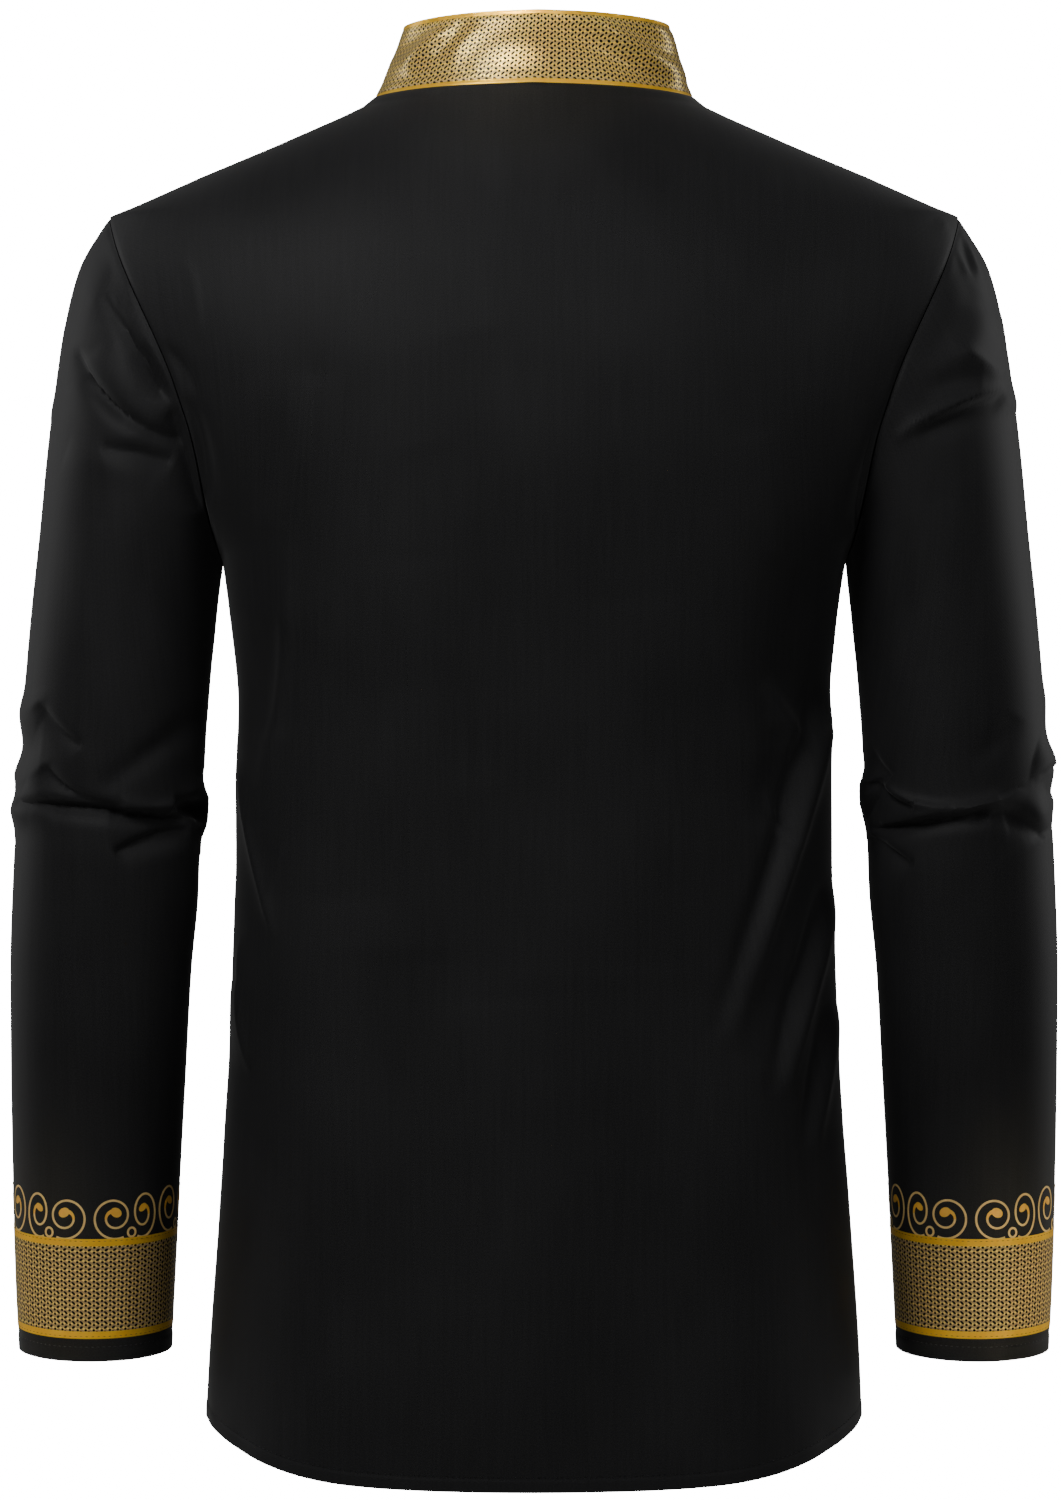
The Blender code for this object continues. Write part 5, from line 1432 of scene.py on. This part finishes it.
def build_scrolls(name, cuff):
    """Gold scrolls and rings standing on the band, mirrored about its middle."""
    strokes = []
    for side in (-1.0, 1.0):
        for scroll in SCROLLS:
            path, widths, head = scroll_path(scroll, side)
            strokes.append((path, widths, PRINT_RISE, head))
            strokes.append((*comma_head(path, scroll), PRINT_RISE + HEAD_LIFT, 0))
        for ring in RINGS:
            turn = np.linspace(0.0, 2.0 * math.pi, 33)
            path = np.stack([side * ring.place + ring.wide * np.sin(turn),
                             BAND_TOP + ring.height - ring.tall * np.cos(turn)], axis=-1)
            strokes.append((path, np.full(len(path), SCROLL_LINE), PRINT_RISE, len(path)))

    points = []
    faces = []
    kinds = []
    for path, widths, rise, head in strokes:
        more_points, more_faces = ribbon(cuff, path, widths, rise)
        faces += [tuple(len(points) + corner for corner in face) for face in more_faces]
        kinds += [1 if index // 4 >= head else 0 for index in range(len(more_faces))]
        points += more_points
    piece = add_piece(name, points, faces, [SCROLL_LINES, SCROLL_HEADS], kinds)
    select_only(piece)
    bpy.ops.object.mode_set(mode="EDIT")
    bpy.ops.mesh.select_all(action="SELECT")
    bpy.ops.mesh.normals_make_consistent(inside=False)
    bpy.ops.object.mode_set(mode="OBJECT")
    sharpen(piece, 50.0)
    declare(piece, "gold_printed_cloth")
    return piece


def build_sleeve(label, mirror, shift, front_shift, folds, creases, other_folds, other_creases):
    """One set-in sleeve with its printed cuff and its stitching."""
    outer, normals, stations = sleeve_cloth(
        mirror, folds, mirrored(other_folds, front_shift, SLEEVE_FRONT_SHARE),
        creases, mirrored(other_creases, front_shift, SLEEVE_FRONT_SHARE))
    ring = np.concatenate([outer, outer[:, :1]], axis=1)
    around = lengths_along(ring, 1)
    flat = np.stack([around, np.broadcast_to((stations[-1] - stations)[:, None], around.shape)], axis=-1)
    piece = add_wall(f"sleeve_{label}_cloth", outer, outer - CLOTH * normals, True, flat, [BLACK])
    declare(piece, "black_cloth", f"sleeve_{label}")
    cuff = Cuff(outer, normals, stations, mirror, shift)
    band = build_cuff_print(f"cuff_print_{label}", cuff)
    scrolls = build_scrolls(f"cuff_scrolls_{label}", cuff)

    black_lines = []
    gold_lines = []
    places = np.linspace(0.0, float(cuff.whole[-1]), 160)
    for height, lines in ((CUFF_TURN, black_lines), (BAND_BOTTOM + BAND_STITCH_IN, gold_lines),
                          (BAND_TOP - BAND_STITCH_IN, gold_lines)):
        row = int(np.argmin(np.abs(cuff.up - height)))
        spots = [cuff.spot(place * cuff.whole[row] / cuff.whole[-1], height) for place in places]
        line = np.array([spot[0] for spot in spots])
        directions = np.array([spot[1] for spot in spots])
        if lines is gold_lines:
            line = line + PRINT_RISE * directions
        lines.append((line, directions, STITCH_LENGTH, STITCH_PITCH))
    hem = add_stitches(f"cuff_hem_stitches_{label}", black_lines, BLACK_THREAD)
    declare(hem, "black_cloth")
    edge = add_stitches(f"cuff_band_stitches_{label}", gold_lines, GOLD_THREAD)
    declare(edge, "gold_printed_cloth")
    return piece, [band, scrolls, hem, edge]


def build_body_stitches(back, back_normals, left, left_normals, right, right_normals):
    """Hem stitching round the whole body."""
    lines = []
    for outer, normals in ((back, back_normals), (left, left_normals), (right, right_normals)):
        height = lengths_along(outer, 0)
        row = int(np.argmin(np.abs(height[:, 0] - HEM_TURN)))
        lines.append((outer[row], normals[row], STITCH_LENGTH, STITCH_PITCH))
    piece = add_stitches("hem_stitches", lines, BLACK_THREAD)
    declare(piece, "black_cloth")
    return piece


def build_collar_stitches(outer, level, up, down):
    """Topstitching along the collar's top, its seam and its front ends."""
    top = int(np.argmin(np.abs(down[:, outer.shape[1] // 2] - COLLAR_BORDER)))
    bottom = int(np.argmin(np.abs(up[:, outer.shape[1] // 2] - COLLAR_BORDER)))
    lines = [(outer[row, 6:-6], level[row, 6:-6], STITCH_LENGTH, STITCH_PITCH) for row in (bottom, top)]
    piece = add_stitches("collar_stitches", lines, GOLD_THREAD)
    declare(piece, "gold_printed_cloth")
    return piece


def build_placket_stitches(outer, normals, places):
    """Two rows of stitching down the button strip, and the worked buttonholes."""
    lines = []
    for x in (PLACKET_STITCH, -PLACKET_STITCH):
        column = int(np.argmin(np.abs(places - x)))
        lines.append((outer[:, column], normals[:, column], STITCH_LENGTH, STITCH_PITCH))
    middle = len(places) // 2
    strip = outer[:, middle]
    for height in BUTTON_HEIGHTS:
        half = BUTTONHOLE_LENGTH / 2.0
        for x in (-BUTTONHOLE_LIP, BUTTONHOLE_LIP):
            for z in np.arange(height - half, height + half, BUTTONHOLE_STITCH_STEP):
                centre = np.array([np.interp(z, strip[:, 2], strip[:, axis]) for axis in range(3)])
                normal = unit(np.array([np.interp(z, strip[:, 2], normals[:, middle, axis]) for axis in range(3)]))
                ends = np.array([centre + [x - BUTTONHOLE_STITCH_HALF, 0.0, 0.0],
                                 centre + [x + BUTTONHOLE_STITCH_HALF, 0.0, 0.0]])
                lines.append((ends, np.array([normal, normal]), 1.3, 1.4))
    piece = add_stitches("placket_stitches", lines, BLACK_THREAD)
    declare(piece, "black_cloth")
    return piece


def choose_faces(piece, keep):
    """In edit mode, select the faces that a test keeps."""
    bpy.ops.mesh.select_all(action="DESELECT")
    bpy.ops.object.mode_set(mode="OBJECT")
    for polygon in piece.data.polygons:
        polygon.select = keep(polygon)
    bpy.ops.object.mode_set(mode="EDIT")


def model_button():
    """Round button with a raised rounded rim, a dished face and four holes."""
    bpy.ops.object.select_all(action="DESELECT")
    bpy.ops.mesh.primitive_cylinder_add(
        vertices=40, radius=BUTTON_RADIUS * MM, depth=BUTTON_THICKNESS * MM,
        location=(0.0, 0.0, BUTTON_THICKNESS / 2.0 * MM))
    button = bpy.context.object
    bpy.ops.object.transform_apply(location=True, rotation=True, scale=True)
    bpy.ops.object.mode_set(mode="EDIT")
    bpy.ops.mesh.select_mode(type="FACE")
    choose_faces(button, lambda polygon: polygon.normal.z > 0.9)
    bpy.ops.mesh.inset(thickness=BUTTON_RIM * MM)
    bpy.ops.mesh.inset(thickness=BUTTON_DISH_SLOPE * MM)
    bpy.ops.transform.translate(value=(0.0, 0.0, -BUTTON_DISH_DEPTH * MM))
    bpy.ops.mesh.select_mode(type="EDGE")
    bpy.ops.mesh.select_all(action="DESELECT")
    bpy.ops.object.mode_set(mode="OBJECT")
    for edge in button.data.edges:
        ends = [button.data.vertices[corner].co for corner in edge.vertices]
        rim = all(math.hypot(end.x, end.y) > (BUTTON_RADIUS - 0.05) * MM for end in ends)
        edge.select = rim and abs(ends[0].z - ends[1].z) < 1e-6
    bpy.ops.object.mode_set(mode="EDIT")
    bpy.ops.mesh.bevel(offset=BUTTON_ROUNDING * MM, segments=4)
    bpy.ops.object.mode_set(mode="OBJECT")

    for side in (-1.0, 1.0):
        for height in (-1.0, 1.0):
            bpy.ops.object.select_all(action="DESELECT")
            bpy.ops.mesh.primitive_cylinder_add(
                vertices=14, radius=BUTTON_HOLE_RADIUS * MM, depth=10.0 * MM,
                location=(side * BUTTON_HOLE_SPREAD * MM, height * BUTTON_HOLE_SPREAD * MM, 0.0))
            cutter = bpy.context.object
            select_only(button)
            cut = button.modifiers.new("hole", "BOOLEAN")
            cut.operation = "DIFFERENCE"
            cut.solver = "EXACT"
            cut.object = cutter
            bpy.ops.object.modifier_apply(modifier=cut.name)
            bpy.data.objects.remove(cutter, do_unlink=True)
    button.data.materials.clear()
    button.data.materials.append(RESIN)
    sharpen(button, 40.0)
    return button


def model_button_thread():
    """Two loops of thread that pass through the holes of a button."""
    loops = []
    for height in (-1.0, 1.0):
        bpy.ops.object.select_all(action="DESELECT")
        bpy.ops.mesh.primitive_torus_add(
            major_segments=24, minor_segments=8,
            major_radius=BUTTON_HOLE_SPREAD * MM, minor_radius=BUTTON_THREAD_RADIUS * MM,
            location=(0.0, height * BUTTON_HOLE_SPREAD * MM, (BUTTON_THICKNESS - 1.0) * MM),
            rotation=(math.pi / 2.0, 0.0, 0.0))
        loop = bpy.context.object
        bpy.ops.object.transform_apply(location=True, rotation=True, scale=True)
        loop.data.materials.append(BLACK_THREAD)
        loops.append(loop)
    select_only(loops[0])
    loops[1].select_set(True)
    bpy.ops.object.join()
    bpy.ops.object.mode_set(mode="EDIT")
    bpy.ops.mesh.select_all(action="SELECT")
    bpy.ops.transform.resize(value=(1.0, 1.0, 0.75))
    bpy.ops.object.mode_set(mode="OBJECT")
    bpy.ops.object.shade_smooth()
    return loops[0]


def copy_to(source, name, place):
    """A copy of a modelled piece with its own mesh, put in place."""
    mesh = source.data.copy()
    mesh.name = name
    mesh.transform(place)
    piece = bpy.data.objects.new(name, mesh)
    bpy.context.scene.collection.objects.link(piece)
    return piece


def build_buttons(strip, normals):
    """Seven buttons sewn down the middle of the strip."""
    button = model_button()
    thread = model_button_thread()
    for number, height in enumerate(BUTTON_HEIGHTS, start=1):
        centre = np.array([np.interp(height, strip[:, 2], strip[:, axis]) for axis in range(3)])
        normal = unit(np.array([np.interp(height, strip[:, 2], normals[:, axis]) for axis in range(3)]))
        up = unit(np.array([0.0, 0.0, 1.0]) - normal[2] * normal)
        across = np.cross(up, normal)
        base = centre + LAYER_GAP * normal
        turn = Matrix(((across[0], up[0], normal[0]), (across[1], up[1], normal[1]), (across[2], up[2], normal[2])))
        place = Matrix.Translation(Vector(base * MM)) @ turn.to_4x4()
        declare(copy_to(button, f"shirt_button_{number}", place), "button_plastic", f"button_{number}")
        declare(copy_to(thread, f"button_thread_{number}", place), "black_cloth")
    bpy.data.objects.remove(button, do_unlink=True)
    bpy.data.objects.remove(thread, do_unlink=True)


back_piece, back, back_normals, back_middle = build_back()
left_piece, left, left_normals = build_front("front_left_cloth", "front_left", 1.0)
right_piece, right, right_normals = build_front("front_right_cloth", "front_right", -1.0)
placket_piece, strip, strip_normals, strip_places = build_placket(left, left_normals, right, right_normals)
collar_piece, collar, collar_level, collar_up, collar_down = build_collar(collar_line(left, right, back, back_middle))
left_sleeve, left_trim = build_sleeve(
    "left", 1.0, 0.2, -7.0, LEFT_SLEEVE_FOLDS, LEFT_SLEEVE_CREASES, RIGHT_SLEEVE_FOLDS, RIGHT_SLEEVE_CREASES)
right_sleeve, right_trim = build_sleeve(
    "right", -1.0, 3.7, 6.0, RIGHT_SLEEVE_FOLDS, RIGHT_SLEEVE_CREASES, LEFT_SLEEVE_FOLDS, LEFT_SLEEVE_CREASES)
hem_stitches = build_body_stitches(back, back_normals, left, left_normals, right, right_normals)
collar_stitches = build_collar_stitches(collar, collar_level, collar_up, collar_down)
placket_stitches = build_placket_stitches(strip, strip_normals, strip_places)
build_buttons(strip[:, len(strip_places) // 2], strip_normals[:, len(strip_places) // 2])


# ---- Floor, light and camera ----

FLOOR_RADIUS_M = 3.4
FLOOR_HEIGHT_M = -1.45
SENSOR = 36.0
ROOM_LIGHT = 0.09
BACKDROP_LIGHT = 18.0
# Three small warm beams pick out the gold print.
BEAM_SIZE = (0.1, 0.1)
BEAM_COLOUR = (1.0, 0.86, 0.55)
CUFF_BEAM_SPREAD = 10.0
COLLAR_BEAM_SPREAD = 9.0
EDGE_LIGHT_SIZE = (0.6, 1.6)


def build_floor():
    """Plain pale studio floor, well below the shirt."""
    bpy.ops.object.select_all(action="DESELECT")
    bpy.ops.mesh.primitive_circle_add(
        vertices=64, radius=FLOOR_RADIUS_M, fill_type="NGON", location=(0.0, 0.0, FLOOR_HEIGHT_M))
    floor = bpy.context.object
    floor.name = "studio_floor"
    material, shader = new_material("painted_floor", Roughness=0.8)
    shader.inputs["Base Color"].default_value = hex_colour("#f2f1ee")
    floor.data.materials.append(material)


def add_area_light(name, place, target, size, power, spread=180.0, colour=(1.0, 1.0, 1.0)):
    """Light panel at a place, turned to a target, in metres, watts and degrees of spread."""
    data = bpy.data.lights.new(name, "AREA")
    data.shape = "RECTANGLE"
    data.size, data.size_y = size
    data.energy = power
    data.spread = math.radians(spread)
    data.color = colour
    lamp = bpy.data.objects.new(name, data)
    lamp.location = place
    lamp.rotation_euler = (Vector(target) - Vector(place)).to_track_quat("-Z", "Y").to_euler()
    bpy.context.scene.collection.objects.link(lamp)


def build_world(light, backdrop):
    """Even pale light all round, and a plain white backdrop that the camera alone sees."""
    world = bpy.data.worlds.new("studio")
    world.use_nodes = True
    bpy.context.scene.world = world
    tree = world.node_tree
    tree.nodes.clear()
    output = tree.nodes.new("ShaderNodeOutputWorld")
    mix = tree.nodes.new("ShaderNodeMixShader")
    path = tree.nodes.new("ShaderNodeLightPath")
    for socket, strength in ((1, light), (2, backdrop)):
        shade = tree.nodes.new("ShaderNodeBackground")
        shade.inputs["Strength"].default_value = strength
        shade.inputs["Color"].default_value = (1.0, 1.0, 1.0, 1.0)
        tree.links.new(shade.outputs[0], mix.inputs[socket])
    tree.links.new(path.outputs["Is Camera Ray"], mix.inputs[0])
    tree.links.new(mix.outputs[0], output.inputs["Surface"])


def build_camera():
    """Camera level with the waist, 3 m behind the wearer."""
    data = bpy.data.cameras.new("camera")
    data.sensor_width = SENSOR
    data.lens = SENSOR * VIEW_DISTANCE / VIEW_FIELD
    camera = bpy.data.objects.new("camera", data)
    camera.location = (VIEW_ASIDE_M, VIEW_DISTANCE * MM, VIEW_HEIGHT * MM)
    camera.rotation_euler = (math.pi / 2.0, 0.0, math.pi)
    bpy.context.scene.collection.objects.link(camera)
    bpy.context.scene.camera = camera


build_floor()
build_world(ROOM_LIGHT, BACKDROP_LIGHT)
add_area_light("key_light", (0.66, 1.05, 0.68), (0.0, 0.0, -0.22), (0.6, 0.6), 11.0)
add_area_light("right_light", (-1.1, 1.2, 0.6), (-0.1, 0.0, -0.15), (0.4, 0.4), 3.4)
add_area_light("left_cuff_light", (0.95, 0.80, -0.58), (0.27, 0.0, -0.64),
               BEAM_SIZE, 0.020, CUFF_BEAM_SPREAD, BEAM_COLOUR)
add_area_light("right_cuff_light", (-0.80, 0.90, -0.58), (-0.27, 0.0, -0.64),
               BEAM_SIZE, 0.034, CUFF_BEAM_SPREAD, BEAM_COLOUR)
add_area_light("collar_light", (0.28, 1.0, 0.36), (0.01, 0.06, 0.05),
               BEAM_SIZE, 0.040, COLLAR_BEAM_SPREAD, BEAM_COLOUR)
add_area_light("fill_light", (0.3, 3.0, 0.8), (0.0, 0.0, -0.4), (0.9, 0.9), 3.0)
add_area_light("left_edge_light", (1.75, -0.75, 0.15), (0.2, 0.0, -0.4), EDGE_LIGHT_SIZE, 9.0)
add_area_light("right_edge_light", (-1.7, -0.8, 0.1), (-0.2, 0.0, -0.4), EDGE_LIGHT_SIZE, 10.0)
build_camera()
